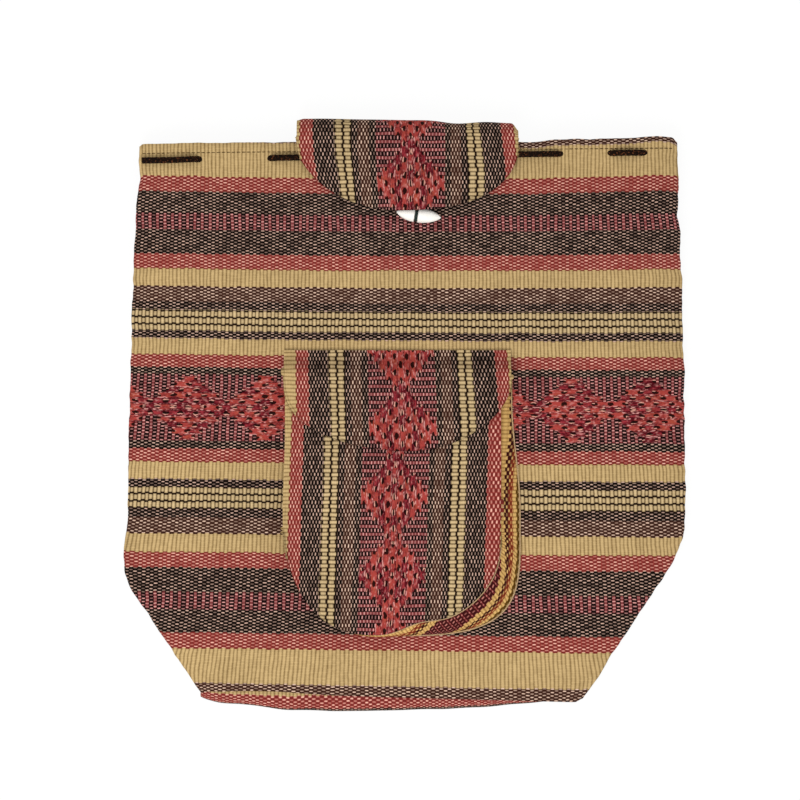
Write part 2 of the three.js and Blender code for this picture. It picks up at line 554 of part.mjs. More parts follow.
// Pocket front: upright stripes, open at its top, with a rounded end.
const pocketTop = MOUTH - POCKET_DROP;
const pocketTurn = pocketTop - POCKET_STRAIGHT;
function pocketUnder(x, y) {
  const depth = lerp(POCKET_DEPTH, POCKET_MOUTH_DEPTH, smoothstep(y, pocketTurn, pocketTop));
  return onFront(x, y) + depth;
}
const onPocket = (x, y) => pocketUnder(x, y) + CLOTH + RIDGE + SEAM_GAP;
const pocketShape = { skew: POCKET_SKEW, right: POCKET_SQUARE };
const pocketEnd = (x) => pocketTurn - roundEnd(x, POCKET_X, POCKET_HALF, POCKET_ROUND, pocketShape);

// A panel of the upright cloth: rows gives each row's place at x, from its end up, under its underside.
function uprightPanel(columns, rows, under, clothX, diamondPlaces) {
  const steps = rows.map((_, k) => k);
  const point = (height) => (x, k) => [x, rows[k](x), height(x, rows[k](x))];
  const top = point((x, y) => under(x, y) + CLOTH + uprightRelief(x, clothX));
  const panel = solidOf(closedShell(columns, steps, top, point(under)));
  const ends = [0, steps.at(-1)];
  const outline = solidOf(closedShell(columns, ends, point(() => 10 * BODY_LOFT), point(() => 0)));
  const face = (x, y) => under(x, y) + CLOTH;
  return geometryOf(joined([panel, ...uprightDiamonds(clothX, diamondPlaces, face, outline)]));
}
function pocketFront() {
  const columns = uprightColumns(POCKET_X - POCKET_HALF, POCKET_X + POCKET_HALF, POCKET_CLOTH_X);
  const rows = range(6, 0, 1).map((share) => (x) => lerp(pocketEnd(x), pocketTop, share));
  const places = [0, 1].map((k) => pocketTurn - POCKET_DIAMOND + k * DIAMOND_PITCH);
  return uprightPanel(columns, rows, pocketUnder, POCKET_CLOTH_X, places);
}

// Pocket gusset: a band of cloth from the bag's front up to the pocket front's edge, round its side and end.
function pocketGusset() {
  const foot = { right: GUSSET_SQUARE };
  const ring = (inset) => (t, share) => {
    const bow = Math.sin(share * Math.PI) * CLOTH - inset;
    const half = POCKET_HALF + lerp(GUSSET_SPREAD, -CLOTH / 2, share) + bow;
    const across = -Math.cos(clamp(t, 0, 1) * Math.PI);
    const straight = t < 0 ? -t : Math.max(0, t - 1);
    const low = roundEnd(across, 0, 1, POCKET_ROUND + bow, foot);
    const high = roundEnd(across, 0, 1, POCKET_ROUND - CLOTH / 2 + bow, pocketShape);
    const x = POCKET_X + lerp(GUSSET_SLIP, 0, share) + half * across;
    const y = pocketTurn + straight * POCKET_STRAIGHT - lerp(low, high, share);
    return [x, y, lerp(onFront(x, y), pocketUnder(x, y) - SEAM_GAP, share)];
  };
  const climb = range(3, 0, GUSSET_CLIMB).slice(1);
  const along = [...climb.map((t) => -t).reverse(), ...range(22, 0, 1), ...climb.map((t) => 1 + t)];
  return closedShell(along, range(3, 0, 1), ring(0), ring(CLOTH));
}

// Pocket flap: sewn to the bag over the pocket's mouth, and rounded at its lower corners.
function pocketFlap() {
  const seam = MOUTH - POCKET_FLAP_DROP;
  const turn = seam - POCKET_FLAP_STRAIGHT;
  const shape = { skew: POCKET_FLAP_SKEW, left: POCKET_FLAP_LEFT, right: POCKET_FLAP_RIGHT };
  const tip = (x) => turn - roundEnd(x, POCKET_FLAP_X, POCKET_FLAP_HALF, POCKET_FLAP_ROUND, shape);
  const under = (x, y) => {
    const climb = 1 - smoothstep(y, pocketTop + SEAM_GAP, seam - POCKET_FLAP_SEAM);
    return lerp(onFront(x, y), onPocket(x, Math.min(y, pocketTop)), climb);
  };
  const columns = uprightColumns(
    POCKET_FLAP_X - POCKET_FLAP_HALF,
    POCKET_FLAP_X + POCKET_FLAP_HALF,
    POCKET_FLAP_CLOTH_X,
  );
  const rows = [
    ...range(3, 0, 1).map((share) => (x) => lerp(tip(x), turn, share)),
    ...range(4, pocketTop + SEAM_GAP, seam - POCKET_FLAP_SEAM).map((y) => () => y),
    () => seam,
  ];
  const places = [turn - POCKET_FLAP_ROUND + POCKET_FLAP_DIAMOND];
  return uprightPanel(columns, rows, under, POCKET_FLAP_CLOTH_X, places);
}

// Shoulder strap: a flat ribbon of folded cloth under the back.
function strap(side) {
  const line = strapLine(side);
  const edge = (t, offset) => {
    const [at, along] = [line.getPoint(t), line.getTangent(t)];
    return new THREE.Vector2(at.x - along.y * offset, at.y + along.x * offset);
  };
  const ts = range(14, 0, 1);
  const half = STRAP_WIDTH / 2;
  const outline = [...ts.map((t) => edge(t, half)), ...ts.reverse().map((t) => edge(t, -half))];
  return new THREE.ExtrudeGeometry(new THREE.Shape(outline), { depth: STRAP_THICK, bevelEnabled: false });
}

const finish = (color, roughness) => new THREE.MeshStandardMaterial({ color, roughness, metalness: 0 });
const cloth = (color) => finish(color, 0.95);
function piece(name, geometry, material) {
  const mesh = new THREE.Mesh(geometry, material);
  mesh.name = name;
  return mesh;
}

const bag = new THREE.Group();
bag.add(
  piece("front_panel", frontPanel(), cloth(0x9c6c50)),
  piece("back_panel", backPanel(), cloth(0x9c6c50)),
  piece("bottom_panel", bottomPanel(), cloth(0xa06052)),
  piece("top_flap", topFlap(), cloth(0x8c5446)),
  piece("flap_loop", flapLoop(), cloth(0x1c2420)),
  piece("toggle_shank", shank(), cloth(0x1c2420)),
  piece("drawstring", cord(DRAWSTRING, CORD, 2), cloth(0x160a06)),
  piece("drawstring_knot", knot(), cloth(0x160a06)),
  piece("pocket_front", pocketFront(), cloth(0x8c5446)),
  piece("pocket_gusset", pocketGusset(), cloth(0xa67a4e)),
  piece("pocket_flap", pocketFlap(), cloth(0x8c5446)),
  piece("strap_left", strap(-1), cloth(0x5a4238)),
  piece("strap_right", strap(1), cloth(0x5a4238)),
);

const toggle = new THREE.Group();
toggle.add(
  piece("toggle", spindle(), finish(0xf2f2ec, 0.35)),
  piece("toggle_band", band(), cloth(0x1c2420)),
);
toggle.position.set(TOGGLE_X, toggleY, toggleZ);
toggle.rotation.set(0, 0, THREE.MathUtils.degToRad(90 + TOGGLE_TURN));
bag.add(toggle);

// The outline's middle comes to the origin.
const backpack = new THREE.Group();
backpack.add(bag);
const outline = new THREE.Box3().setFromObject(bag);
bag.position.set(-(outline.min.x + outline.max.x) / 2, -(outline.min.y + outline.max.y) / 2, -outline.min.z);

export default backpack;
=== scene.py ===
"""Woven drawstring backpack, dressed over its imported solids: cloth, cord, toggle, straps and stage."""
import math

import bmesh
import bpy
from mathutils import Matrix, Vector, noise


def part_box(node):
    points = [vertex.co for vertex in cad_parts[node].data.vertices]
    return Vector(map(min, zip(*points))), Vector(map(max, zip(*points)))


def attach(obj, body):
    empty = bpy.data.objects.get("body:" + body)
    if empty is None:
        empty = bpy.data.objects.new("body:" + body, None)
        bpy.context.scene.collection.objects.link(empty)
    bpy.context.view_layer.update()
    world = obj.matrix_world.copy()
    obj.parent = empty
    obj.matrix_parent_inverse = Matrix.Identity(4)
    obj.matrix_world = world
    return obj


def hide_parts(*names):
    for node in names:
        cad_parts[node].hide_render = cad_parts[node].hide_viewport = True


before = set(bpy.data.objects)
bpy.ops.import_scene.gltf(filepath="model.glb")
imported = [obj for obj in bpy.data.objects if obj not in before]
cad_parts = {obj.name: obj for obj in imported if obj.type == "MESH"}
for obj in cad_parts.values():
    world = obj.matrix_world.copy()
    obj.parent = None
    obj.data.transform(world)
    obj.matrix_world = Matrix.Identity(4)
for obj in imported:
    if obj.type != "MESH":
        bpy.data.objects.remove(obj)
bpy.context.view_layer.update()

bl_info = {
    "name": "Woven Backpack Dresser",
    "version": (1, 0, 0),
    "blender": (4, 5, 0),
    "location": "View3D > Sidebar > Backpack",
    "description": "Dresses a woven drawstring backpack in striped cloth, cord, toggle and straps",
    "category": "Object",
}

MM = 0.001

# Outline of the flat body, in millimetres
BODY_LENGTH = 394.0
HALF_WIDTH = 200.0
MOUTH_LEFT = 191.5
MOUTH_RIGHT = 193.5
FOOT_LEFT = 150.0
FOOT_RIGHT = 127.5
CORNER_LEFT = 74.0
CORNER_RIGHT = 112.0
CORNER_SOFT = 9.0
FOOT_TILT = -0.02
MOUTH_TILT = 0.0105
MOUTH = BODY_LENGTH / 2
FOOT = -BODY_LENGTH / 2

# Heights of the flat body
CLOTH = 2.0
SEAM_GAP = 0.3
RIDGE = 0.6
RIM_RISE = 2.4
MOUTH_RIM_RISE = 7.2
RISE_FROM = 104.0
RISE_TO = 41.6
BODY_LOFT = 10.0
MOUTH_LOFT = 10.7
FOOT_LOFT = 6.0
FOOT_BULGE = 11.0
BULGE_AT = -0.3
BULGE_SPAN = 2.5
MOUTH_RAMP = 0.6
FOOT_RAMP = 0.16
SIDE_FULLNESS = 10
RIM_SHARPNESS = 24

# Foot of the front, which laps over the bottom panel
SEAM_END = 0.985
BOTTOM_RUN = 30.0
BOTTOM_TUCK = 1.0
BOTTOM_CORNER = 1.3
FOOT_LIFT = 0.8
FOOT_HEM = 0.03
FOOT_LAP = (3.0, 5.0)
FOOT_LAP_FROM = -145.0
FOOT_LAP_TO = 122.0
FOOT_LAP_SLANT = 0.62

# Hem and drawstring
HEM = 7.0
HEM_CREASE = 0.8
HEM_RISE = 0.7
HEM_FALL = 1.2
HEM_ROUND = 2.4
HEM_GATHER = 0.5
STITCH_LIFT = 0.85
CORD = 3.8
CORD_FLAT = 1.22
CORD_LAY = {"strands": 4, "twist": 5.0, "lobe": 0.16}
CORD_FOLD = 3.4
CORD_FOLD_RISE = 5.5
CORD_DROP = 11.0
CORD_TILT = 0.0145
HEM_LIFT = CORD + 3 * SEAM_GAP
DRAWSTRING = [
    (0.2, 184.8, 26.6), (-10, 185.7, 25.3), (-22, 185.7, 18.1), (-44, 185.4, 18.1), (-56, 185.2, 25.3),
    (-92, 184.7, 25.3), (-104, 184.5, 18.1), (-140, 184, 17.8), (-152, 183.8, 24.9), (-167, 183.2, 24.1),
    (-179, 183.1, 22.5), (-185.5, 183.1, 20.8), (-189.3, 183.1, 18.6), (-190.4, 183.1, 15),
    (-190.4, 183.1, 9.5), (-189.2, 183.1, 5.3), (-186, 183.1, 3.5), (-178, 183.2, 2.5), (-156, 183.7, 2.4),
    (-144, 183.9, 9), (-50, 185.3, 9), (30, 186.4, 9), (94, 187.4, 9), (106, 187.5, 2.4), (144, 188.1, 2.4),
    (156, 187.6, 9.1), (164, 178, 9.3), (172, 169.5, 9.7), (180, 169.5, 10.2), (184, 177, 11.2),
    (181.5, 184.5, 12.8), (177, 188.3, 14.8), (165, 188.4, 24.2), (150, 188.2, 25), (138, 188, 17.8),
    (116, 187.7, 18.1), (104, 187.5, 25.3), (70, 187, 25.3), (58, 186.8, 18.1), (36, 186.5, 18.1),
    (24, 186.3, 25.3), (13.8, 185.2, 26.6),
]
DRAWN_IN = -188.9
TAILS = [
    [(-1, -1.9, 2.5), (-4, -8.9, 2), (-10, -15.9, 2), (-15, -23.9, 2)],
    [(1, -1.9, 2.5), (6, -8.9, 2), (11, -15.9, 2), (16, -23.9, 2)],
]

# Top flap and its fastening
FLAP_X = 0.7
FLAP_HALF = 79.0
FLAP_DROP = 51.0
FLAP_ROUND = 48.0
FLAP_LEFT = 1.8
FLAP_RIGHT = 2.2
FLAP_RISE = 15.0
FLAP_TILT = -0.02
FLAP_TONGUE = 26.0
FLAP_FOLD = 2.0
FLAP_CLOTH_X = 2.9
FLAP_BUMP = 26.0
FLAP_SLOPE = 30.0
FLAP_FOLD_RUN = 41.0
FLAP_TONGUE_RUN = 28.0
FLAP_STRETCH = (0.95, 1.04)
FLAP_LEAN = (-0.7, 2.9)
FLAP_LEAN_FROM = 175.0
FLAP_LEAN_RUN = 33.0
FOLD_CORNERS = (1.4, 5.2)
FLAP_DIAMOND_Y = 166.1
TOGGLE_X = 7.0
TOGGLE_DROP = 53.9
TOGGLE_LENGTH = 32.0
TOGGLE_OFFSET = 1.7
TOGGLE_RADIUS = 5.6
TOGGLE_WAIST = 4.2
TOGGLE_TAPER = 2.2
TOGGLE_BLUNT = 0.75
TOGGLE_TURN = -8.0
TOGGLE_NUDGE = 1.0
BAND = 1.1
BAND_FIT = 0.2
BAND_WINDS = 3
LOOP = 1.7
LOOP_REACH = 24.0
LOOP_BEND = 4.0
LOOP_EYE = 6.0
LOOP_ARCH = 0.4
SHANK = 1.0
KNOT_X = 7.0
KNOT_HEIGHT = 8.2
KNOT_DROP = 1.2
KNOT_SIZE = 1.5
KNOT_DEEP = 1.35
TOGGLE_Y = MOUTH - TOGGLE_DROP
SHANK_HEIGHT = LOOP + 2 * SEAM_GAP

# Pocket
POCKET_X = -9.5
POCKET_HALF = 77.0
POCKET_DROP = 166.0
POCKET_STRAIGHT = 114.0
POCKET_ROUND = 73.0
POCKET_SKEW = 0.16
POCKET_SQUARE = 2.45
POCKET_BULGE = 1.7
POCKET_BULGE_Y = -70.0
POCKET_DEPTH = 10.0
POCKET_MOUTH_DEPTH = 7.0
POCKET_CLOTH_X = -7.8
POCKET_CLOTH_Y = -23.8
POCKET_CLOTH_LEAN = 0.029
POCKET_CLOTH_STRETCH = 0.982
POCKET_SQUEEZE = (70, 0.3, 2.0)
POCKET_DIAMOND_Y = -56.7
GUSSET_SLIP = 8.0
GUSSET_SPREAD = 5.5
GUSSET_SQUARE = 3.5
GUSSET_CLIMB = 0.96
GUSSET_TAPER = 6.2
GUSSET_STEPS = 220
GUSSET_TOP_BAND = 8.9
GUSSET_FOOT_BANDS = (7.4, 21.2)
GUSSET_SIDE_BAND = 9.0
GUSSET_MIRRORED = (20.0, 16.4)
POCKET_FLAP_X = -6.5
POCKET_FLAP_HALF = 81.0
POCKET_FLAP_DROP = 149.5
POCKET_FLAP_STRAIGHT = 25.0
POCKET_FLAP_ROUND = 47.0
POCKET_FLAP_SKEW = -0.07
POCKET_FLAP_LEFT = 2.2
POCKET_FLAP_RIGHT = 1.7
POCKET_FLAP_SEAM = 3.0
POCKET_FLAP_CLOTH_X = -3.1
POCKET_FLAP_CLOTH_LEAN = -0.025
POCKET_FLAP_STRETCH = (1.03, 0.985)
POCKET_FLAP_SQUEEZE = (53, 0.1, 1.5)
POCKET_FLAP_DIAMOND_Y = -8.0
POCKET_TOP = MOUTH - POCKET_DROP
POCKET_TURN = POCKET_TOP - POCKET_STRAIGHT

# Welts along the gusset's two edges: place up the gusset, start and end round it, how far proud, how far up
WELT = 0.6
WELTS = [(0.02, 0.4, 1.93, 0.4, 0.5), (0.98, 0.45, 0.97, 0.85, 0.4)]

# Turned edge of the flaps and the pocket, and the mark of a place far from any cut edge
TURNING = 2.2
TURNING_DEPTH = 0.5
EDGE_ROUND = 1.3
EDGE_DROP = 0.6
NO_EDGE = 99

# Shoulder straps
STRAP_WIDTH = 38.0
STRAP_THICK = 3.2
STRAP_WALL = 2.6
STRAP_LENGTH = 345.0
STRAP_EDGE = 0.5
STRAP_TOP_X = 34.0
STRAP_FOOT_X = 114.0
STRAP_FOOT_RISE = 46.0
STRAP_BOW = 172.0
STRAP_EASE = 20.0
STRAP_FALL = 30.0
STRAP_LIFT = STRAP_THICK + SEAM_GAP

# The weave: stripes from the middle of the diamond stripe outwards, each with its width
RIB = 2.7
ROW = 1.18
DIAMOND_X = 8.6
DIAMOND_RIBS = 20
FLOAT_RIBS = 4
FLOAT_ROWS = 5.5
BLOCK = 5.2
UPRIGHT_STRETCH = 1.047
BODY_DRAFT = [
    ("diamonds", 23.0), ("black", 5.6), ("rose", 8.9), ("tan", 11.8), ("black", 6.1), ("blocks", 15.4),
    ("black", 6.4), ("brown", 10.4), ("tan", 12.7), ("rose", 11.1), ("black", 17.2),
    ("columns", 12.5), ("black", 15.7), ("rose", 11.4), ("tan", 25.0), ("brown", 40),
]
UPRIGHT_DRAFT = [
    ("diamonds", 24.2), ("black", 4.2), ("brown", 7.6), ("black", 4.7), ("blocks", 11.6),
    ("black", 14.4), ("rose", 9.3), ("tan", 40),
]
BOTTOM_DRAFT = [("tan", 3.4), ("rose", 8.3), ("black", 40)]
GUSSET_DRAFT = [
    ("cells", 8.0), ("beads", 3.3), ("chain", 2.0), ("rust", 2.7), ("gold", 2.6), ("olive", 1.8),
    ("tan", 20),
]
STRAP_DRAFT = [("rose", 4), ("black", 5), ("tan", 4), ("black", 3), ("tan", 20)]
BAND_Y = 6.64
BAND_STRETCH = (0.975, 1.025)

# How the stripes lie in the body: they lean most at the foot, sag most at the mouth, and the ribs fan out
FOOT_LEAN = 2.4
LEAN_LOST_LOW = 1.0
LEAN_LOST_HIGH = 1.1
MOUTH_SAG = 3.3
MOUTH_STRIPE_DROP = 2.2
FOOT_STRIPE_DROP = 1.8
LEVEL_AT = -0.578
RIB_PACKING = 0.993
RIB_FAN = 0.1
CORNER_SLANT = 60.0

# How far the side folds and the mouth edge wander, in long and in short waves
SIDE_WANDER = (0.7, 0.45)
MOUTH_WANDER = (0.9, 0.3)
MOUTH_CORNERS = (1.6, 3.0)

# Places where an edge lies out of line: place, half width, how far out
SIDE_DENTS = [
    [(174, 12, -2.2), (-96, 20, 2.0), (-114, 14, 1.5)],
    [(143.5, 7, -2.2), (-104, 9, 1.5), (-133, 24, 2.0), (-184, 12, 1.8)],
]
MOUTH_DENTS = [(86, 15, -2.0), (180, 14, 2.0)]
BOTTOM_DENTS = [(-62, 45, 1.6), (40, 30, 0.7)]
FOOT_LAP_DENTS = [(-100, 32, -1.9)]
FLAP_DENTS = [(TOGGLE_X, 25, 0.8)]
FOLD_DENTS = [(36, 14, -1.5)]
POCKET_DENTS = [(9, 17, 5.5)]

# Floor, lamp and camera, in metres, and the camera's sensor in millimetres
FLOOR_SIZE = 6.0
FLOOR_DROP = 0.2 * MM
LAMP_SIZE = 0.9
LAMP_PLACE = (-0.3, -0.7, 1.35)
SENSOR = 36.0
VIEW_END = 50.0

# The frame's middle lies a little off the bag's own
_pocket_low, _pocket_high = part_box("pocket_front")
SHIFT_X = _pocket_low[0] / MM - (POCKET_X - POCKET_HALF)
SHIFT_Y = _pocket_high[1] / MM - POCKET_TOP


def linear(*srgb):
    """A colour written as 0 to 255, in the linear values that materials take."""
    shares = (value / 255 for value in srgb)
    return tuple(c / 12.92 if c <= 0.04045 else ((c + 0.055) / 1.055) ** 2.4 for c in shares)


def colour_prop(name, description, *srgb):
    """A colour property with its default written as 0 to 255."""
    return bpy.props.FloatVectorProperty(
        name=name, description=description, subtype="COLOR", size=3, min=0, max=1, default=linear(*srgb)
    )


def length_prop(name, description, millimetres):
    """A length property with its default written in millimetres."""
    return bpy.props.FloatProperty(
        name=name, description=description, subtype="DISTANCE", unit="LENGTH", default=millimetres * MM
    )


def number_prop(name, description, default, low=0, **limits):
    """A plain number property with its lowest value."""
    return bpy.props.FloatProperty(name=name, description=description, default=default, min=low, **limits)


class BackpackCloth(bpy.types.PropertyGroup):
    """Colours and surface of the woven cloth."""

    # Tan groove and tan crest are one tan yarn: painted shade in the grooves between the ribs, painted
    # light on their crests
    tan_groove: colour_prop("Tan groove", "Tan stripes between the ribs", 104, 76, 36)
    tan_crest: colour_prop("Tan crest", "Tan stripes on the ribs", 204, 174, 122)
    block_groove: colour_prop("Block groove", "Dark lines between the tan blocks", 30, 14, 6)
    # Painted light on the blocks' crests; their grooves take the shaded tan
    block_crest: colour_prop("Block crest", "Tan blocks on the ribs", 214, 187, 140)
    rose_ground: colour_prop("Rose ground", "Ground of the rose stripes", 141, 50, 45)
    rose_dash: colour_prop("Rose dash", "Pick-up dashes of the rose stripes", 246, 188, 168)
    black_ground: colour_prop("Black ground", "Ground of the black stripes", 9, 2, 1)
    black_dash: colour_prop("Black dash", "Pick-up dashes of the black stripes", 214, 177, 157)
    brown_ground: colour_prop("Brown ground", "Ground of the brown stripes", 67, 36, 26)
    brown_dash: colour_prop("Brown dash", "Pick-up dashes of the brown stripes", 236, 202, 178)
    maroon_ground: colour_prop("Maroon ground", "Dark columns beside the diamonds", 24, 5, 6)
    maroon_dash: colour_prop("Maroon dash", "Pale dashes of the columns", 230, 164, 156)
    pink: colour_prop("Pink", "Pink columns beside the diamonds", 112, 34, 38)
    diamond: colour_prop("Diamond", "Red floats of the woven diamonds", 166, 64, 58)
    # Painted shade at the floats' edges, also the colour of darker dyed floats
    diamond_shade_and_dye: colour_prop("Diamond edge", "Edges of the red floats", 78, 10, 20)
    diamond_warm: colour_prop("Diamond warm", "Floats dyed towards orange", 166, 74, 54)
    diamond_cool: colour_prop("Diamond cool", "Floats dyed towards crimson", 152, 40, 60)
    cream: colour_prop("Cream", "Pale threads between the floats", 236, 172, 152)
    # Gold groove and gold crest are one gold yarn: painted shade in the grooves between the ribs, painted
    # light on their crests
    gold_groove: colour_prop("Gold groove", "Gold bands of the gusset between the ribs", 128, 88, 42)
    gold_crest: colour_prop("Gold crest", "Gold bands of the gusset on the ribs", 224, 182, 112)
    # Painted shade: the dark olive line beside the gusset's folded edge
    olive: colour_prop("Olive", "Dark line at the gusset's edge", 98, 66, 14)
    rust: colour_prop("Rust", "Ground of the gusset's reddish band", 138, 56, 34)
    cell_ground: colour_prop("Cell ground", "Ground of the gusset's dark cells", 66, 16, 18)
    cell_dash: colour_prop("Cell dash", "Dashes of the gusset's dark cells", 200, 128, 116)
    relief: length_prop("Relief", "Depth of the weave's bump", 0.35)
    wave: length_prop("Wave", "Height of the slack waves in the body's cloth", 0.9)


class BackpackTrim(bpy.types.PropertyGroup):
    """Colours and sizes of the cord, the toggle and the sewing."""

    cord: colour_prop("Cord", "Drawstring", 16, 6, 2)
    # Painted highlights on the drawstring's twisted fibres
    cord_highlight: colour_prop("Cord pale", "Light fibres of the drawstring", 84, 46, 24)
    thread: colour_prop("Thread", "Sewing thread", 70, 50, 24)
    welt: colour_prop("Welt", "Pale turned edges of the pocket", 168, 140, 104)
    toggle: colour_prop("Toggle", "White toggle", 239, 238, 233)
    toggle_grain: colour_prop("Toggle grain", "Darker grain of the toggle", 221, 215, 207)
    binding: colour_prop("Binding", "Dark thread round the toggle", 36, 46, 42)
    stitch: length_prop("Stitch", "Length of a stitch", 3.0)
    stitch_gap: length_prop("Stitch gap", "From one stitch to the next", 0.6)
    thread_size: length_prop("Thread size", "Diameter of the sewing thread", 0.6)


class BackpackStage(bpy.types.PropertyGroup):
    """Light, floor and camera."""

    floor: colour_prop("Floor", "Floor under the bag", 244, 244, 242)
    floor_glow: number_prop("Floor glow", "Share of plain white in the floor as seen", 0.93, max=1)
    sky: number_prop("Sky", "Even light from all round", 0.97)
    lamp: number_prop("Lamp", "Power of the soft lamp", 13, unit="POWER")
    lens: number_prop("Lens", "Focal length", 200, low=1, unit="CAMERA")
    view_width: length_prop("View width", "Width that the picture takes in", 572.4)
    view_x: length_prop("View x", "Middle of the picture across the bag", -4.65)
    view_y: length_prop("View y", "Middle of the picture along the bag", 11.99)
    view_z: length_prop("View z", "Height that the picture's width is measured at", 15)


def lerp(low, high, share):
    return low + (high - low) * share


def clamp(value, low=0.0, high=1.0):
    return min(max(value, low), high)


def smoothstep(value, low, high):
    share = clamp((value - low) / (high - low))
    return share * share * (3 - 2 * share)


def soft_min(a, b, width):
    """The smaller of two values, with the change rounded over a width."""
    share = clamp(0.5 + 0.5 * (b - a) / width)
    return lerp(b, a, share) - width * share * (1 - share)


def swell(value, middle, width):
    """A round hump, 1 at its middle."""
    return math.exp(-(((value - middle) / width) ** 2))


def dented(value, dents):
    """How far an edge lies out of line at a place."""
    return sum(reach * swell(value, place, width) for place, width, reach in dents)


def eased(s):
    """From -1 to 1, closer together towards both ends."""
    return math.sin((s - 0.5) * math.pi)


def ripple(x, y, size, seed):
    """Smooth irregularity between about -1 and 1, with waves of that size."""
    return 1.6 * noise.noise(Vector((x / size, y / size, seed)))


def spot(x, y, z):
    """A place of the bag, in millimetres, as a point of the frame."""
    return Vector(((x + SHIFT_X) * MM, (y + SHIFT_Y) * MM, z * MM))


# Plan of the flat body: u runs from the left side fold at -1 to the right at 1, v from foot 0 to mouth 1
BODY_SIDES = [(FOOT_LEFT, CORNER_LEFT, MOUTH_LEFT), (FOOT_RIGHT, CORNER_RIGHT, MOUTH_RIGHT)]


def half_width(v, right):
    foot, corner, mouth = BODY_SIDES[right]
    corner /= BODY_LENGTH
    side = lerp(HALF_WIDTH, mouth, clamp((v - corner) / (1 - corner)) ** 2)
    slant = foot + (HALF_WIDTH - foot) * v / corner
    return soft_min(side, slant, CORNER_SOFT)


def foot_y(x):
    return FOOT + FOOT_TILT * x


def mouth_y(x):
    return MOUTH + MOUTH_TILT * x


def body_plan(u, v):
    x = u * half_width(v, u > 0)
    return x, lerp(foot_y(x), mouth_y(x), v)


def body_cloth(x, y):
    v = clamp((y - foot_y(x)) / (mouth_y(x) - foot_y(x)))
    return clamp(x / half_width(v, x > 0), -1, 1), v


def cord_line(x):
    return MOUTH - CORD_DROP + CORD_TILT * x


def strap_point(side, t):
    """A point of a strap's centre line and its direction there."""
    p = [
        Vector((side * STRAP_TOP_X, MOUTH - FLAP_TONGUE - STRAP_WIDTH / 2)),
        Vector((side * (STRAP_TOP_X + STRAP_WIDTH), MOUTH - FLAP_TONGUE - 2 * STRAP_WIDTH)),
        Vector((side * STRAP_BOW, FOOT + 4 * STRAP_FOOT_RISE)),
        Vector((side * STRAP_FOOT_X, FOOT + STRAP_FOOT_RISE)),
    ]
    r = 1 - t
    at = p[0] * r**3 + p[1] * 3 * r * r * t + p[2] * 3 * r * t * t + p[3] * t**3
    along = (p[1] - p[0]) * r * r + (p[2] - p[1]) * 2 * r * t + (p[3] - p[2]) * t * t
    return at, along.normalized()


STRAP_LINE = [strap_point(side, k / 24)[0] for side in (-1, 1) for k in range(25)]


def lens(u):
    return math.sqrt(max(0.0, 1 - abs(u) ** SIDE_FULLNESS))


def hem_share(v):
    return smoothstep((v - 1) * BODY_LENGTH, -RISE_FROM, -RISE_TO)


def rim_rise(v):
    return lerp(RIM_RISE, MOUTH_RIM_RISE, hem_share(v))


def loft(u, v):
    hollow = lerp(BODY_LOFT, MOUTH_LOFT, smoothstep(v, MOUTH_RAMP, 1))
    return lerp(FOOT_LOFT, hollow, smoothstep(v, 0, FOOT_RAMP)) * lens(u)


def strap_share(x, y):
    away = min(math.hypot(p.x - x, p.y - y) for p in STRAP_LINE)
    return 1 - smoothstep(away, STRAP_WIDTH / 2 + STRAP_EASE, STRAP_WIDTH / 2 + STRAP_EASE + STRAP_FALL)


def back_under(u, v):
    lying = max(STRAP_LIFT * strap_share(*body_plan(u, v)), HEM_LIFT * hem_share(v))
    return lerp(lying, rim_rise(v), abs(u) ** RIM_SHARPNESS)


def front_under(u, v):
    return rim_rise(v) + CLOTH + 2 * SEAM_GAP + loft(u, v)


def on_front(x, y):
    """Height at which something lies on the front."""
    return front_under(*body_cloth(x, y)) + CLOTH + RIDGE + SEAM_GAP


def round_end(x, middle, half, height, skew=0.0, left=2.0, right=2.0):
    """How far a rounded end reaches at x. A skew moves its lowest place to the left, and a power fills
    out a corner."""
    across = clamp((x - middle) / half, -1, 1)
    power = lerp(left, right, (1 + across) / 2)
    away = abs(across + skew * (1 - across * across))
    return height * max(0.0, 1 - away**power) ** (1 / power)


def flap_lift(x, y):
    on_cord = (CORD + 4 * SEAM_GAP) * smoothstep(y, cord_line(x) - FLAP_SLOPE, cord_line(x) - CORD)
    over_toggle = SHANK_HEIGHT + 2 * TOGGLE_RADIUS + 2 * SEAM_GAP
    over_knot = KNOT_HEIGHT + SEAM_GAP
    middle = lerp(over_toggle, over_knot, smoothstep(y, TOGGLE_Y + TOGGLE_LENGTH / 2, cord_line(x)))
    return lerp(on_cord, middle, swell(x, TOGGLE_X, FLAP_BUMP))


def flap_under(x, y):
    return on_front(x, y) + flap_lift(x, y)


def pocket_under(x, y):
    return on_front(x, y) + lerp(POCKET_DEPTH, POCKET_MOUTH_DEPTH, smoothstep(y, POCKET_TURN, POCKET_TOP))


def on_pocket(x, y):
    return pocket_under(x, y) + CLOTH + RIDGE + SEAM_GAP


def pocket_pull(x):
    """How far the seam at the pocket's end is drawn up, right of its middle."""
    return dented(x, POCKET_DENTS)


def pocket_end(x):
    reach = round_end(x, POCKET_X, POCKET_HALF, POCKET_ROUND, skew=POCKET_SKEW, right=POCKET_SQUARE)
    return POCKET_TURN - reach + pocket_pull(x)


def cut_distance(end, x, y):
    """How far a point of a piece lies from its cut edge, where end(x) gives the edge's place."""
    slope = end(x + 0.5) - end(x - 0.5)
    return (y - end(x)) / math.hypot(1, slope)


def turned_edge(distance):
    """Relief of a narrow turned edge: round at the edge, with a crease along its stitching."""
    crease = TURNING_DEPTH * swell(distance, TURNING, 0.6)
    return -crease - EDGE_DROP * (1 - smoothstep(distance, 0, EDGE_ROUND))


RAISED = {"tan": 0.55, "blocks": 0.45, "rose": 0.1, "gold": 0.3}


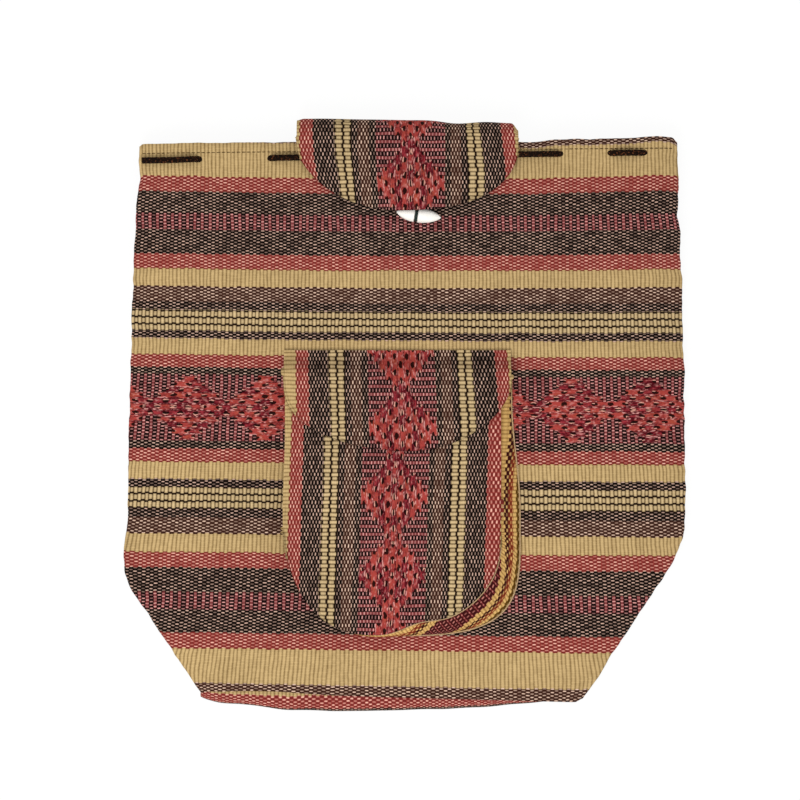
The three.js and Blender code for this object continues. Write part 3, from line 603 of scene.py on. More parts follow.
def weave_rise(draft, along, across):
    """Relief of the woven stripes and diamonds over the plain weave."""
    across = abs(across)
    start = 0.0
    for weave, width in draft:
        if across <= start + width:
            break
        start += width
    if weave == "diamonds":
        pitch = DIAMOND_RIBS * RIB
        away = abs((along / pitch + 0.5) % 1 - 0.5) * 2 + across / width
        return RIDGE * clamp((1 - away) / 0.12)
    if weave == "blocks":
        rows = round(width / BLOCK)
        off = abs((across - start) / width * rows % 1 - 0.5) * 2
        return RAISED[weave] * (1 - smoothstep(off, 0.6, 1))
    edge = min(across - start, start + width - across)
    return RAISED.get(weave, 0.0) * smoothstep(edge, 0, 0.9)


def squeezed(across, start, rate, most):
    """Place across the upright cloth, whose outer stripes at the right are squeezed beyond a start."""
    return across - clamp((across - start) * rate, 0, most)


def upright_rise(along, across, edge):
    """Relief of the upright cloth with its turned edge."""
    return weave_rise(UPRIGHT_DRAFT, along, across) + turned_edge(edge)


def maths(operation, reflected=False):
    """An operator of Value, which adds a Math node. A reflected one takes its operands in turned order."""

    def apply(*operands):
        order = reversed(operands) if reflected else operands
        return operands[0].finish.math(operation, *order)

    return apply


class Value:
    """A number that varies over a surface. Expressions on it add Math nodes."""

    def __init__(self, finish, socket):
        self.finish = finish
        self.socket = socket

    __add__ = __radd__ = maths("ADD")
    __sub__ = maths("SUBTRACT")
    __rsub__ = maths("SUBTRACT", reflected=True)
    __mul__ = __rmul__ = maths("MULTIPLY")
    __truediv__ = maths("DIVIDE")
    __mod__ = maths("FLOORED_MODULO")
    __pow__ = maths("POWER")
    __lt__ = maths("LESS_THAN")
    __gt__ = maths("GREATER_THAN")
    __abs__ = maths("ABSOLUTE")
    floor = maths("FLOOR")

    def limited(self):
        return self.finish.node("ShaderNodeClamp", {}, {"Value": self})


class Finish:
    """A material or a world, built node by node."""

    def __init__(self, owner):
        owner.use_nodes = True
        self.owner = owner
        self.tree = owner.node_tree
        self.tree.nodes.clear()

    def node(self, kind, settings, inputs, output=0):
        """Adds a node of a type with its settings, then its sockets' values or links."""
        made = self.tree.nodes.new(kind)
        for key, value in settings.items():
            if key == "stops":
                ramp = made.color_ramp
                while len(ramp.elements) < len(value):
                    ramp.elements.new(1.0)
                for element, (place, tint) in zip(ramp.elements, value):
                    element.position = place
                    element.color = tint
                ramp.interpolation = "CONSTANT"
            else:
                setattr(made, key, value)
        for key, value in inputs.items():
            if isinstance(value, Value):
                self.tree.links.new(value.socket, made.inputs[key])
            else:
                made.inputs[key].default_value = value
        return Value(self, made.outputs[output]) if made.outputs else None

    def math(self, operation, *operands):
        return self.node("ShaderNodeMath", {"operation": operation}, dict(enumerate(operands)))

    def mix(self, share, low, high, blend="MIX"):
        """A colour between two colours."""
        low, high = (c if isinstance(c, Value) else (*c, 1) for c in (low, high))
        settings = {"data_type": "RGBA", "blend_type": blend}
        return self.node("ShaderNodeMix", settings, {0: share, 6: low, 7: high}, 2)

    def grey(self, value):
        """A number as a grey colour."""
        return self.node("ShaderNodeCombineColor", {}, {0: value, 1: value, 2: value})

    def vector(self, *parts):
        return self.node("ShaderNodeCombineXYZ", {}, dict(enumerate(parts)))

    def own_place(self):
        return self.node("ShaderNodeTexCoord", {}, {}, 3)

    def noise(self, place, scale, detail):
        """Smooth irregularity from 0 to 1."""
        return self.node("ShaderNodeTexNoise", {}, {"Vector": place, "Scale": scale, "Detail": detail})

    def chance(self, *cell):
        """A number from 0 to 1 by chance, one to a cell."""
        settings = {"noise_dimensions": "2D"}
        return self.node("ShaderNodeTexWhiteNoise", settings, {"Vector": self.vector(*cell)}, 0)

    def bump(self, strength, distance, height):
        inputs = {"Strength": strength, "Distance": distance, "Height": height}
        return self.node("ShaderNodeBump", {}, inputs)

    def surface(self, **sockets):
        """The Principled surface, with its sockets by name, a space written as an underscore."""
        inputs = {key.replace("_", " "): value for key, value in sockets.items()}
        shader = self.node("ShaderNodeBsdfPrincipled", {}, inputs)
        self.node("ShaderNodeOutputMaterial", {}, {"Surface": shader})
        return self.owner


# Ground colour, light colour and make of each stripe: how far it is ribbed, columned, blocked and floated
# For ribbed stripes the ground colour is painted shade in the grooves and the light colour painted light on
# the crests
TONES = {
    "tan": ("tan_groove", "tan_crest", (1, 0, 0, 0)),
    "gold": ("gold_groove", "gold_crest", (1, 0, 0, 0)),
    "blocks": ("tan_groove", "block_crest", (1, 0, 1, 0)),
    "rose": ("rose_ground", "rose_dash", (0, 0, 0, 0)),
    "black": ("black_ground", "black_dash", (0, 0, 0, 0)),
    "brown": ("brown_ground", "brown_dash", (0, 0, 0, 0)),
    "beads": ("gold_groove", "gold_crest", (0.75, 0, 0, 0)),
    "chain": ("cell_ground", "gold_crest", (0, 0, 0, 0)),
    "rust": ("rust", "gold_crest", (0, 0, 0, 0)),
    "olive": ("olive", "tan_groove", (0, 0, 0, 0)),
    "cells": ("cell_ground", "cell_dash", (0, 0.76, 0, 0)),
    "columns": ("maroon_ground", "maroon_dash", (0, 1, 0, 0)),
    "diamonds": ("maroon_ground", "maroon_dash", (0, 1, 0, 1)),
}


class Weave(Finish):
    """Cloth woven in stripes. Its map gives millimetres along the stripes and across from their middle."""

    def __init__(self, name, draft):
        super().__init__(bpy.data.materials.new(name))
        self.cloth = bpy.context.scene.backpack_cloth
        self.draft = dict(draft)
        self.span = sum(width for _, width in draft)
        starts = [sum(width for _, width in draft[:k]) / self.span for k in range(len(draft))]
        self.stripes = [(start, weave) for start, (weave, _) in zip(starts, draft)]

        self.along, self.across = self.chart("Cloth")
        self.along = self.along + self.waver(9, 1.0, 2.5) * 1.8
        self.across = self.across + self.waver(22, 5.0, 1.0) * 1.6 + self.waver(5, 9.0, 1.0) * 0.85
        rib = self.along / RIB
        row = self.across / ROW
        self.rib_number = rib.floor()
        row_number = row.floor()
        self.off_rib = abs(rib - self.rib_number - 0.5) * 2
        self.off_row = abs(row - row_number - 0.5) * 2
        self.odd_rib = self.rib_number % 2
        self.over = (self.rib_number + row_number) % 2
        self.odds = self.chance(self.rib_number, row_number)
        wiggle = (self.odd_rib - 0.5) * 0.7
        self.place = abs(self.across + wiggle) / self.span
        kind = self.ramp(lambda tone: tone[2])
        parts = (self.node("ShaderNodeSeparateColor", {}, {0: kind}, k) for k in range(3))
        self.ribbed, self.columned, self.blocked = parts

    def chart(self, name):
        """Both numbers of one of the cloth's own maps."""
        uv = self.node("ShaderNodeUVMap", {"uv_map": name}, {})
        return [self.node("ShaderNodeSeparateXYZ", {}, {0: uv}, k) for k in (0, 1)]

    def waver(self, size, seed, tall):
        """Smooth irregularity from -0.5 to 0.5, with waves of that size, taller across the stripes."""
        place = self.vector(self.along / size, self.across / (size * tall), seed)
        return self.noise(place, 1.0, 1.0) - 0.5

    def ramp(self, pick, output=0):
        """What pick gives for each stripe, over the stripe's width."""
        stops = [(start, pick(TONES[weave])) for start, weave in self.stripes]
        return self.node("ShaderNodeValToRGB", {"stops": stops}, {"Fac": self.place}, output)

    def plain(self):
        """Dashes of a plain weave, ribs of a tan stripe, and pink columns between dark dashed ones."""
        cloth, off_rib, off_row, over, odds = self.cloth, self.off_rib, self.off_row, self.over, self.odds
        ground = self.ramp(lambda tone: (*getattr(cloth, tone[0]), 1))
        light = self.ramp(lambda tone: (*getattr(cloth, tone[1]), 1))
        crest = 1 - off_rib * off_rib
        bead = (1 - off_rib**4) * (1 - off_row**2)
        dash = over * bead**1.6 * (0.27 + odds * 0.92)
        # Painted shade in the hollow cells between the raised dashes
        hollow = (1 - over) * (1 - off_rib**4) * (1 - self.ribbed) * 0.4
        # Painted light on the rib crests and painted shade in the grooves, with beads along the rows and
        # uneven tone
        ribs = crest * 0.72 + (1 - off_row**2) * 0.2 + odds * 0.16 + self.waver(2.2, 41.0, 5.0) * 0.4
        thin_rib = (self.columned > 0.1) * (1 - self.odd_rib)
        pink_rib = thin_rib * ((self.columned * 1.5 - 0.68 - off_rib) * 5.0).limited()
        thread = bead**1.2 * (0.1 + over * 0.75) * (0.45 + odds * 0.8)
        plain = dash * (1 - self.ribbed) * (1 - thin_rib) + ribs * self.ribbed + thread * pink_rib
        ground = self.mix(hollow, ground, cloth.black_ground)
        ground = self.mix(pink_rib * (1 - off_row**2 * 0.4), ground, cloth.pink)
        return self.mix(plain.limited(), ground, light), plain * 0.6 + crest * 0.4

    def blocks(self, tint):
        """Rows of tan blocks, long and short by turns, with dark lines between them and painted shade
        towards each block's edges.
        """
        width = self.draft["blocks"]
        start = next(start for start, weave in self.stripes if weave == "blocks") * self.span
        rung = (abs(self.across) - start) / (width / round(width / BLOCK))
        off_rung = abs(rung - rung.floor() - 0.5) * 2
        long = (self.rib_number + rung.floor()) % 2
        beyond = ((off_rung - long * 0.28 - 0.5) * 4.8).limited()
        # Painted shade towards each block's edges; short blocks a little darker
        groove = self.off_rib**3 * 0.55
        short_blocks_and_shade = (1 - long) * 0.12 + off_rung**2 * 0.12
        dark_lines_and_shade = (beyond + groove + short_blocks_and_shade).limited() * self.blocked
        return self.mix(dark_lines_and_shade, tint, self.cloth.block_groove)

    def diamonds(self, tint, height):
        """Diamonds of red floats laid like bricks, with dark gaps and pale threads between them, and
        painted shade and highlights on the floats.
        """
        cloth, along, waver = self.cloth, self.along, self.waver
        step = FLOAT_RIBS * RIB
        level = abs(self.across) / (self.draft["diamonds"] / FLOAT_ROWS) + waver(5.0, 21.0, 1.0) * 0.5
        line = (level + 0.5).floor()
        half = (1 - line % 2) * 0.5
        centre = (along / step + 0.5 - half).floor() + half
        off_along = abs(along / step - centre)
        off_across = abs(level - line)
        pitch = DIAMOND_RIBS / FLOAT_RIBS
        from_middle = abs((centre + pitch / 2) % pitch - pitch / 2)
        banded = self.ramp(lambda tone: tone[2], 1)
        inside = banded * (from_middle < (pitch + 0.2 - line) * 0.5)
        ragged = waver(1.7, 13.0, 1.0) * 1.6
        knot = ((1 - ((0.5 - off_along) / 0.24) ** 2 - (off_across / 0.32) ** 2 + ragged) * 2.5).limited()
        dashes = ((off_across - 0.36) * 10.0).limited() * (waver(3.4, 23.0, 0.6) * 10.0).limited()
        # Painted highlight along the middle of the floats
        glint = ((waver(3.2, 37.0, 0.6) - 0.03) * 6.0).limited() * (1 - off_across * 1.6) * 0.48
        dye = self.chance(centre * 2, line)
        streak = waver(7, 17.0, 0.1) * 2.6 + waver(1.8, 31.0, 0.7) * 1.6
        # Painted shade towards the floats' edges, with darker dye and streaks
        painted_shade_and_dye = (0.08 + off_across**2 * 3.4 + off_along * 0.3 + (dye - 0.5) * 1.1 + streak).limited()
        red = self.mix((waver(6.0, 29.0, 1.0) * 5.0).limited() * 0.7, cloth.diamond, cloth.diamond_warm)
        red = self.mix(((dye - 0.6) * 6.0).limited() * 0.6, red, cloth.diamond_cool)
        red = self.mix(painted_shade_and_dye, red, cloth.diamond_shade_and_dye)
        # Pale threads between the rows, and the painted highlight on the floats
        red = self.mix((dashes * 0.8 + glint).limited(), red, cloth.maroon_dash)
        beside = ((level - line - 0.08) * 12.0).limited() * (dye > 0.35)
        gap = self.mix(beside * 0.85, cloth.black_ground, cloth.cream)
        red = self.mix(knot * 0.95, red, gap)
        floated = (1 - off_across) * (1 - knot)
        return self.mix(inside, tint, red), height * (1 - inside) + inside * floated

    def edge_shade_and_dye(self, tint, height):
        """Painted shade at the cut edge and in the crease of the turning beside it, uneven dye and fibres.
        """
        rim = self.chart("Edge")[0]
        # Painted shade: darker in the crease of the turning and along the cut edge
        crease = (1 - abs(rim - TURNING) / 0.55).limited() * 0.3 + (rim < 0.6) * 0.4
        tint = self.mix(crease, tint, self.cloth.black_ground)
        where = self.own_place()
        patch = self.noise(where, 24.0, 3.0)
        fibre = self.noise(where, 1400.0, 2.0)
        shade = 0.63 + patch * 0.18 + fibre * 0.14
        return self.mix(1.0, tint, self.grey(shade), "MULTIPLY"), height + fibre * 0.25


def woven_cloth(name, draft):
    """Material of a cloth that is woven by a draft."""
    f = Weave(name, draft)
    tint, height = f.plain()
    if "blocks" in f.draft:
        tint = f.blocks(tint)
    if "diamonds" in f.draft:
        tint, height = f.diamonds(tint, height)
    tint, height = f.edge_shade_and_dye(tint, height)
    bump = f.bump(0.7, f.cloth.relief, height)
    return f.surface(Base_Color=tint, Roughness=0.92, Normal=bump, Specular_IOR_Level=0.05)


def plain_fibre(name, colour, roughness, grain, pale=None):
    """Thread, cord or welt: one colour with fibres, and painted highlights on the brightest fibres where a
    pale colour is given.
    """
    f = Finish(bpy.data.materials.new(name))
    where = f.own_place()
    fibre = f.noise(where, grain, 3.0)
    patch = f.noise(where, grain / 12, 2.0)
    shade = 1 + (fibre - 0.5) * 1.3 + (patch - 0.5) * 0.5
    # Painted highlights on the brightest fibres
    light = ((fibre - 0.56) * 7.0).limited()
    tint = f.mix(1.0, f.mix(light, colour, pale or colour), f.grey(shade), "MULTIPLY")
    bump = f.bump(0.6, 0.4 * MM, fibre)
    return f.surface(Base_Color=tint, Roughness=roughness, Normal=bump, Specular_IOR_Level=0.08)


def grid_mesh(columns, rows, place, chart, closed=False, turned=False):
    """A grid laid over a surface. place(s, t) gives its points, with s and t from 0 to 1. chart(s, t) gives
    its own map, and after it how far a point lies from the piece's cut edge, where the piece shows one."""
    bm = bmesh.new()
    for name in ("Cloth", "Edge"):
        bm.loops.layers.uv.new(name)
    uv, rim = (bm.loops.layers.uv[name] for name in ("Cloth", "Edge"))
    bmesh.ops.create_grid(bm, x_segments=columns, y_segments=rows, size=0.5)
    spots = {vert: (clamp(vert.co.x + 0.5), clamp(vert.co.y + 0.5)) for vert in bm.verts}
    charts = {vert: chart(*at) for vert, at in spots.items()}
    for vert, at in spots.items():
        vert.co = place(*at)
    for face in bm.faces:
        face.smooth = True
        for loop in face.loops:
            along, across, *edge = charts[loop.vert]
            loop[uv].uv = along, across
            loop[rim].uv = (*edge, NO_EDGE)[0], 0
    if closed:
        bmesh.ops.remove_doubles(bm, verts=bm.verts, dist=1e-6)
        bmesh.ops.holes_fill(bm, edges=bm.edges, sides=0)
    if turned:
        bmesh.ops.reverse_faces(bm, faces=bm.faces)
    return bm


def add_object(name, bm, material):
    """Makes an object of a mesh, with its finish."""
    mesh = bpy.data.meshes.new(name)
    bm.to_mesh(mesh)
    bm.free()
    mesh.materials.append(material)
    made = bpy.data.objects.new(name, mesh)
    bpy.context.collection.objects.link(made)
    return made


def add_piece(name, bm, material, body, nodes=(), thickness=0.0, round_edge=0.0):
    """Makes a piece with its body and the nodes that it stands for, cloth with its wall and round edge."""
    piece = add_object(name, bm, material)
    if thickness:
        wall = piece.modifiers.new("Cloth", "SOLIDIFY")
        wall.thickness = thickness
        wall.offset = -1
    if round_edge:
        edge = piece.modifiers.new("Edge", "BEVEL")
        edge.width = round_edge
        edge.segments = 2
        edge.limit_method = "ANGLE"
        edge.angle_limit = math.radians(60)
    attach(piece, body)
    if nodes:
        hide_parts(*nodes)
    return piece


def add_cloth(name, bm, material, node, round_edge=0.5, wall=CLOTH):
    """Makes a cloth piece of the bag, with its wall and its rounded edge in millimetres."""
    return add_piece(name, bm, material, "bag", [node], wall * MM, round_edge * MM)


def smooth_route(points, spacing):
    """A route through given points, as closely spaced points."""
    points = [Vector(p) for p in points]
    ends = [2 * points[0] - points[1], *points, 2 * points[-1] - points[-2]]
    ease = 0.3
    route = []
    for k in range(1, len(ends) - 2):
        before, start, end, after = ends[k - 1 : k + 3]
        leave, arrive = (end - before) * ease, (after - start) * ease
        steps = max(2, math.ceil((end - start).length / spacing))
        for step in range(steps):
            t = step / steps
            t2, t3 = t * t, t * t * t
            route.append(
                start * (2 * t3 - 3 * t2 + 1)
                + leave * (t3 - 2 * t2 + t)
                + end * (3 * t2 - 2 * t3)
                + arrive * (t3 - t2)
            )
    route.append(points[-1])
    return route


def tube_mesh(route, radius, sides, strands, twist, lobe, flat=1.0):
    """A round cord along a route, with twisted strands, in millimetres."""
    frames = []
    side = Vector((0, 0, 1))
    run = 0.0
    for k, at in enumerate(route):
        ahead = route[min(k + 1, len(route) - 1)] - route[max(k - 1, 0)]
        ahead.normalize()
        side = side - ahead * side.dot(ahead)
        if side.length < 1e-6:
            side = ahead.orthogonal()
        side.normalize()
        run += (at - route[k - 1]).length if k else 0.0
        frames.append((at, side.copy(), ahead.cross(side), run))
    last = len(frames) - 1

    def place(s, t):
        at, up, across, along = frames[round(s * last)]
        angle = t * 2 * math.pi
        lift = abs(math.sin(strands / 2 * angle + along / twist * math.pi))
        reach = radius * (1 - lobe + lobe * lift)
        point = at + up * (reach * math.cos(angle)) + across * (reach * flat * math.sin(angle))
        return spot(*point)

    return grid_mesh(last, sides, place, lambda s, t: (s, t), closed=True, turned=True)


def stitch_mesh(route, size, length, gap):
    """A row of stitches along a route, in millimetres."""
    bm = bmesh.new()
    bm.loops.layers.uv.new("Cloth")
    run = 0.0
    due = length / 2
    for start, end in zip(route, route[1:]):
        reach = (end - start).length
        while due <= run + reach:
            at = start.lerp(end, (due - run) / reach)
            along = (end - start).normalized()
            turn = along.to_track_quat("X", "Z").to_matrix().to_4x4()
            scale = Matrix.Diagonal((length / size, 1.0, 0.8, 1.0))
            matrix = Matrix.Translation(spot(*at)) @ turn @ scale
            bmesh.ops.create_uvsphere(bm, u_segments=7, v_segments=5, radius=size / 2 * MM, matrix=matrix)
            due += length + gap
        run += reach
    for face in bm.faces:
        face.smooth = True
    return bm


def stitch_sizes(trim):
    """The thread's diameter, a stitch's length and the gap to the next, in millimetres."""
    return trim.thread_size / MM, trim.stitch / MM, trim.stitch_gap / MM


def body_chart(x, y, v):
    """Place in the body's cloth, along its stripes and across from the diamonds. Its ribs fan out to
    the foot, and its stripes sag between the sides at the mouth and sink to the right at the foot."""
    lean = FOOT_LEAN - LEAN_LOST_LOW * smoothstep(v, 0.05, 0.4) - LEAN_LOST_HIGH * smoothstep(v, 0.62, 0.8)
    sag = MOUTH_SAG * v**2.2

    def sunk(share):
        return lean * share + sag * (1 - share * share)

    across = y - BAND_Y + sunk(x / HALF_WIDTH) - sunk(LEVEL_AT)
    fan = RIB_PACKING + RIB_FAN * (1 - v) ** 2
    slant = CORNER_SLANT * max(0.0, 0.2 - v) ** 2 * smoothstep(-x, 20, 90)
    return (x - DIAMOND_X) / fan + slant, across / BAND_STRETCH[across < 0]


def edge_wobble(u, v):
    """How far the side folds and the mouth edge stray from a straight line."""
    x, y = body_plan(u, v)
    out = SIDE_WANDER[0] * ripple(y, 0, 21, 3 + u) + SIDE_WANDER[1] * ripple(y, 0, 6, 8 + u)
    out = abs(u) ** 6 * (out + dented(y, SIDE_DENTS[u > 0])) + 0.3 * cord_fold(u, y)
    up = MOUTH_WANDER[0] * ripple(x, 0, 34, 12) + MOUTH_WANDER[1] * ripple(x, 0, 9, 15)
    up -= MOUTH_CORNERS[1] * smoothstep(u, 0.972, 1) ** 2 + MOUTH_CORNERS[0] * smoothstep(-u, 0.98, 1) ** 2
    return math.copysign(1, u) * out, v**12 * (up + dented(x, MOUTH_DENTS))


def cord_fold(u, y):
    """Share of the small fold of cloth that the drawstring enters at the left side."""
    return smoothstep(-u, 0.976, 0.99) * swell(y, cord_line(-HALF_WIDTH), CORD_FOLD)


def foot_overlap(u, x, v):
    """How far the front's foot laps over the bottom panel."""
    share = clamp((x - FOOT_LAP_FROM) / (FOOT_LAP_TO - FOOT_LAP_FROM))
    lap = lerp(*FOOT_LAP, share) + dented(x, FOOT_LAP_DENTS)
    lap *= 1 - 0.5 * smoothstep(u, 0.96, 1) + 0.4 * smoothstep(-u, 0.95, 1)
    return lap * (1 - smoothstep(v, 0, FOOT_HEM))


class BackpackOperator(bpy.types.Operator):
    """Base of the backpack's operators."""

    bl_options = {"REGISTER", "UNDO"}


class BACKPACK_OT_stage(BackpackOperator):
    """Floor, soft light and the camera that looks straight down"""

    bl_idname = "backpack.stage"
    bl_label = "Stage"

    def execute(self, context):
        scene = context.scene
        stage = scene.backpack_stage
        scene.view_settings.view_transform = "Standard"

        camera = bpy.data.cameras.new("camera")
        camera.lens = stage.lens
        camera.sensor_width = SENSOR
        camera.clip_end = VIEW_END
        looker = bpy.data.objects.new("camera", camera)
        away = stage.view_width * stage.lens / camera.sensor_width
        looker.location = spot(stage.view_x / MM, stage.view_y / MM, (stage.view_z + away) / MM)
        scene.collection.objects.link(looker)
        scene.camera = looker

        f = Finish(bpy.data.materials.new("floor"))
        path = "ShaderNodeLightPath"
        seen = f.node(path, {}, {}, "Is Camera Ray") + f.node(path, {}, {}, "Is Glossy Ray")
        seen = seen + f.node(path, {}, {}, "Is Transmission Ray")
        paint = f.node("ShaderNodeBsdfDiffuse", {}, {"Color": (*stage.floor, 1)})
        white = f.node("ShaderNodeEmission", {}, {"Color": (1, 1, 1, 1), "Strength": 1.0})
        share = seen.limited() * stage.floor_glow
        mixed = f.node("ShaderNodeMixShader", {}, {0: share, 1: paint, 2: white})
        f.node("ShaderNodeOutputMaterial", {}, {"Surface": mixed})
        bm = bmesh.new()
        below = Matrix.Translation((0, 0, -FLOOR_DROP))
        bmesh.ops.create_grid(bm, x_segments=1, y_segments=1, size=FLOOR_SIZE, matrix=below)
        floor = add_object("floor", bm, f.owner)

        sky = Finish(bpy.data.worlds.new("studio"))
        scene.world = sky.owner
        seen = sky.node(path, {}, {}, "Is Camera Ray")
        strength = seen * (1 - stage.sky) + stage.sky
        glow = sky.node("ShaderNodeBackground", {}, {"Color": (1, 1, 1, 1), "Strength": strength})
        sky.node("ShaderNodeOutputWorld", {}, {"Surface": glow})

        lamp = bpy.data.lights.new("soft_lamp", "AREA")
        lamp.shape = "DISK"
        lamp.size = LAMP_SIZE
        lamp.energy = stage.lamp
        lamp_object = bpy.data.objects.new("soft_lamp", lamp)
        lamp_object.location = LAMP_PLACE
        lamp_object.rotation_euler = (-lamp_object.location).to_track_quat("-Z", "Y").to_euler()
        scene.collection.objects.link(lamp_object)
        return {"FINISHED"}


class BACKPACK_OT_drawstring(BackpackOperator):
    """Drawstring in a running stitch round the mouth, with its knot and tails"""

    bl_idname = "backpack.drawstring"
    bl_label = "Drawstring"

    def execute(self, context):
        trim = context.scene.backpack_trim
        material = plain_fibre("drawstring_fibre", trim.cord, 0.9, 800.0, trim.cord_highlight)
        route = smooth_route([(max(x, DRAWN_IN), y, z) for x, y, z in DRAWSTRING], 1.5)
        bm = tube_mesh(route, CORD / 2, 14, **CORD_LAY, flat=CORD_FLAT)
        add_piece("visual_drawstring", bm, material, "bag", ["drawstring"])

        knot_y = cord_line(KNOT_X) - KNOT_DROP
        foot = Vector((KNOT_X, knot_y, on_front(KNOT_X, knot_y)))
        middle = foot + Vector((0, 0, KNOT_HEIGHT / 2))
        loop = []
        for k in range(97):
            a = k / 96 * 2 * math.pi
            x, y = math.sin(a) + 2 * math.sin(2 * a), math.cos(a) - 2 * math.cos(2 * a)
            loop.append(middle + Vector((x, y, -KNOT_DEEP * math.sin(3 * a))) * KNOT_SIZE)
        bm = tube_mesh(loop, CORD / 2, 12, **CORD_LAY)
        add_piece("visual_knot", bm, material, "bag", ["drawstring_knot"])
        for number, tail in enumerate(TAILS):
            route = smooth_route([foot + Vector(point) for point in tail], 1.2)
            bm = tube_mesh(route, CORD / 2, 12, **CORD_LAY)
            add_piece(f"visual_tail_{number}", bm, material, "bag", ["drawstring_knot"])
        return {"FINISHED"}


class BACKPACK_OT_body(BackpackOperator):
    """Front, back and bottom panels of the bag, and the hem's stitches"""

    bl_idname = "backpack.body"
    bl_label = "Body"

    def execute(self, context):
        scene = context.scene
        wave = scene.backpack_cloth.wave / MM
        trim = scene.backpack_trim
        cloth = woven_cloth("body_weave", BODY_DRAFT)

        def front_height(u, v):
            x, y = body_plan(u, v)
            along, across = body_chart(x, y, v)
            free = 0.35 + 0.65 * smoothstep(abs(u), 0.5, 0.8)
            slack = wave * free * (ripple(x, y, 60, 20) + 0.4 * ripple(x, y, 22, 24)) * lens(u)
            drop = mouth_y(x) - y
            gather = HEM_GATHER * swell(drop, 0, 22) * ripple(x, drop / 4, 11, 30) * lens(u)
            crease = -0.6 * swell(drop, HEM, HEM_CREASE)
            turned = HEM_RISE * (1 - smoothstep(drop, HEM - 1.5, HEM))
            rounded = HEM_FALL * (1 - smoothstep(drop, 0, HEM_ROUND))
            rise = weave_rise(BODY_DRAFT, along, across) + CORD_FOLD_RISE * cord_fold(u, y)
            rise += FOOT_LIFT * (1 - smoothstep(v, 0, FOOT_HEM))
            return front_under(u, v) + CLOTH + rise + slack + gather + crease + turned - rounded

        def front_place(s, t):
            u = eased(s)
            x, y = body_plan(u, t)
            out, up = edge_wobble(u, t)
            lap = foot_overlap(u, x, t)
            return spot(x + out - FOOT_LAP_SLANT * lap * u**9, y + up - lap, front_height(u, t))

        def front_chart(s, t):
            u = eased(s)
            x, y = body_plan(u, t)
            along, across = body_chart(x, y - foot_overlap(u, x, t), t)
            across += MOUTH_STRIPE_DROP * smoothstep(x, 40, 90) * smoothstep(t, 0.95, 1)
            across -= FOOT_STRIPE_DROP * clamp((60 - x) / 200) * (1 - smoothstep(t, 0, 0.055))
            return along, across

        bm = grid_mesh(190, 200, front_place, front_chart)
        front = add_cloth("visual_front", bm, cloth, "front_panel", 0.6)

        def back_place(s, t):
            u = eased(s)
            x, y = body_plan(u, t)
            out, up = edge_wobble(u, t)
            return spot(x + out, y + up, back_under(u, t))

        bm = grid_mesh(120, 120, back_place, front_chart, turned=True)
        back = add_cloth("visual_back", bm, cloth, "back_panel", 0.6)

        def bottom_place(s, t):
            u = lerp(-SEAM_END, SEAM_END, s)
            turn = (t - 0.5) * math.pi
            x, y = body_plan(u, 0)
            high = front_under(u, 0) + CLOTH - BOTTOM_TUCK
            low = back_under(u, 0)
            slack = 0.6 * ripple(x, 0, 25, 40) * math.cos(turn)
            fullness = max(0.0, math.cos((u - BULGE_AT) * math.pi / BULGE_SPAN)) * lens(u)
            reach = FOOT_BULGE * fullness + 1.25 * CLOTH + slack + dented(x, BOTTOM_DENTS)
            reach += BOTTOM_CORNER * smoothstep(-x, 119, 136)
            return spot(x, y - SEAM_GAP - reach * math.cos(turn), lerp(low, high, (1 + math.sin(turn)) / 2))

        def bottom_chart(s, t):
            u = lerp(-SEAM_END, SEAM_END, s)
            return u * FOOT_LEFT, (1 - t) * BOTTOM_RUN + 2.0 * smoothstep(u, -0.7, -0.2)

        bottom_cloth = woven_cloth("bottom_weave", BOTTOM_DRAFT)
        bm = grid_mesh(140, 24, bottom_place, bottom_chart)
        bottom = add_cloth("visual_bottom", bm, bottom_cloth, "bottom_panel")

        hem = []
        hem_v = 1 - HEM / BODY_LENGTH
        for k in range(201):
            u = lerp(-SEAM_END, SEAM_END, k / 200)
            hem.append(Vector((*body_plan(u, hem_v), front_height(u, hem_v) + STITCH_LIFT)))
        thread = plain_fibre("sewing_thread", trim.thread, 0.85, 2600.0)
        bm = stitch_mesh(hem, *stitch_sizes(trim))
        add_piece("visual_hem_stitches", bm, thread, "bag")
        return {"FINISHED"}


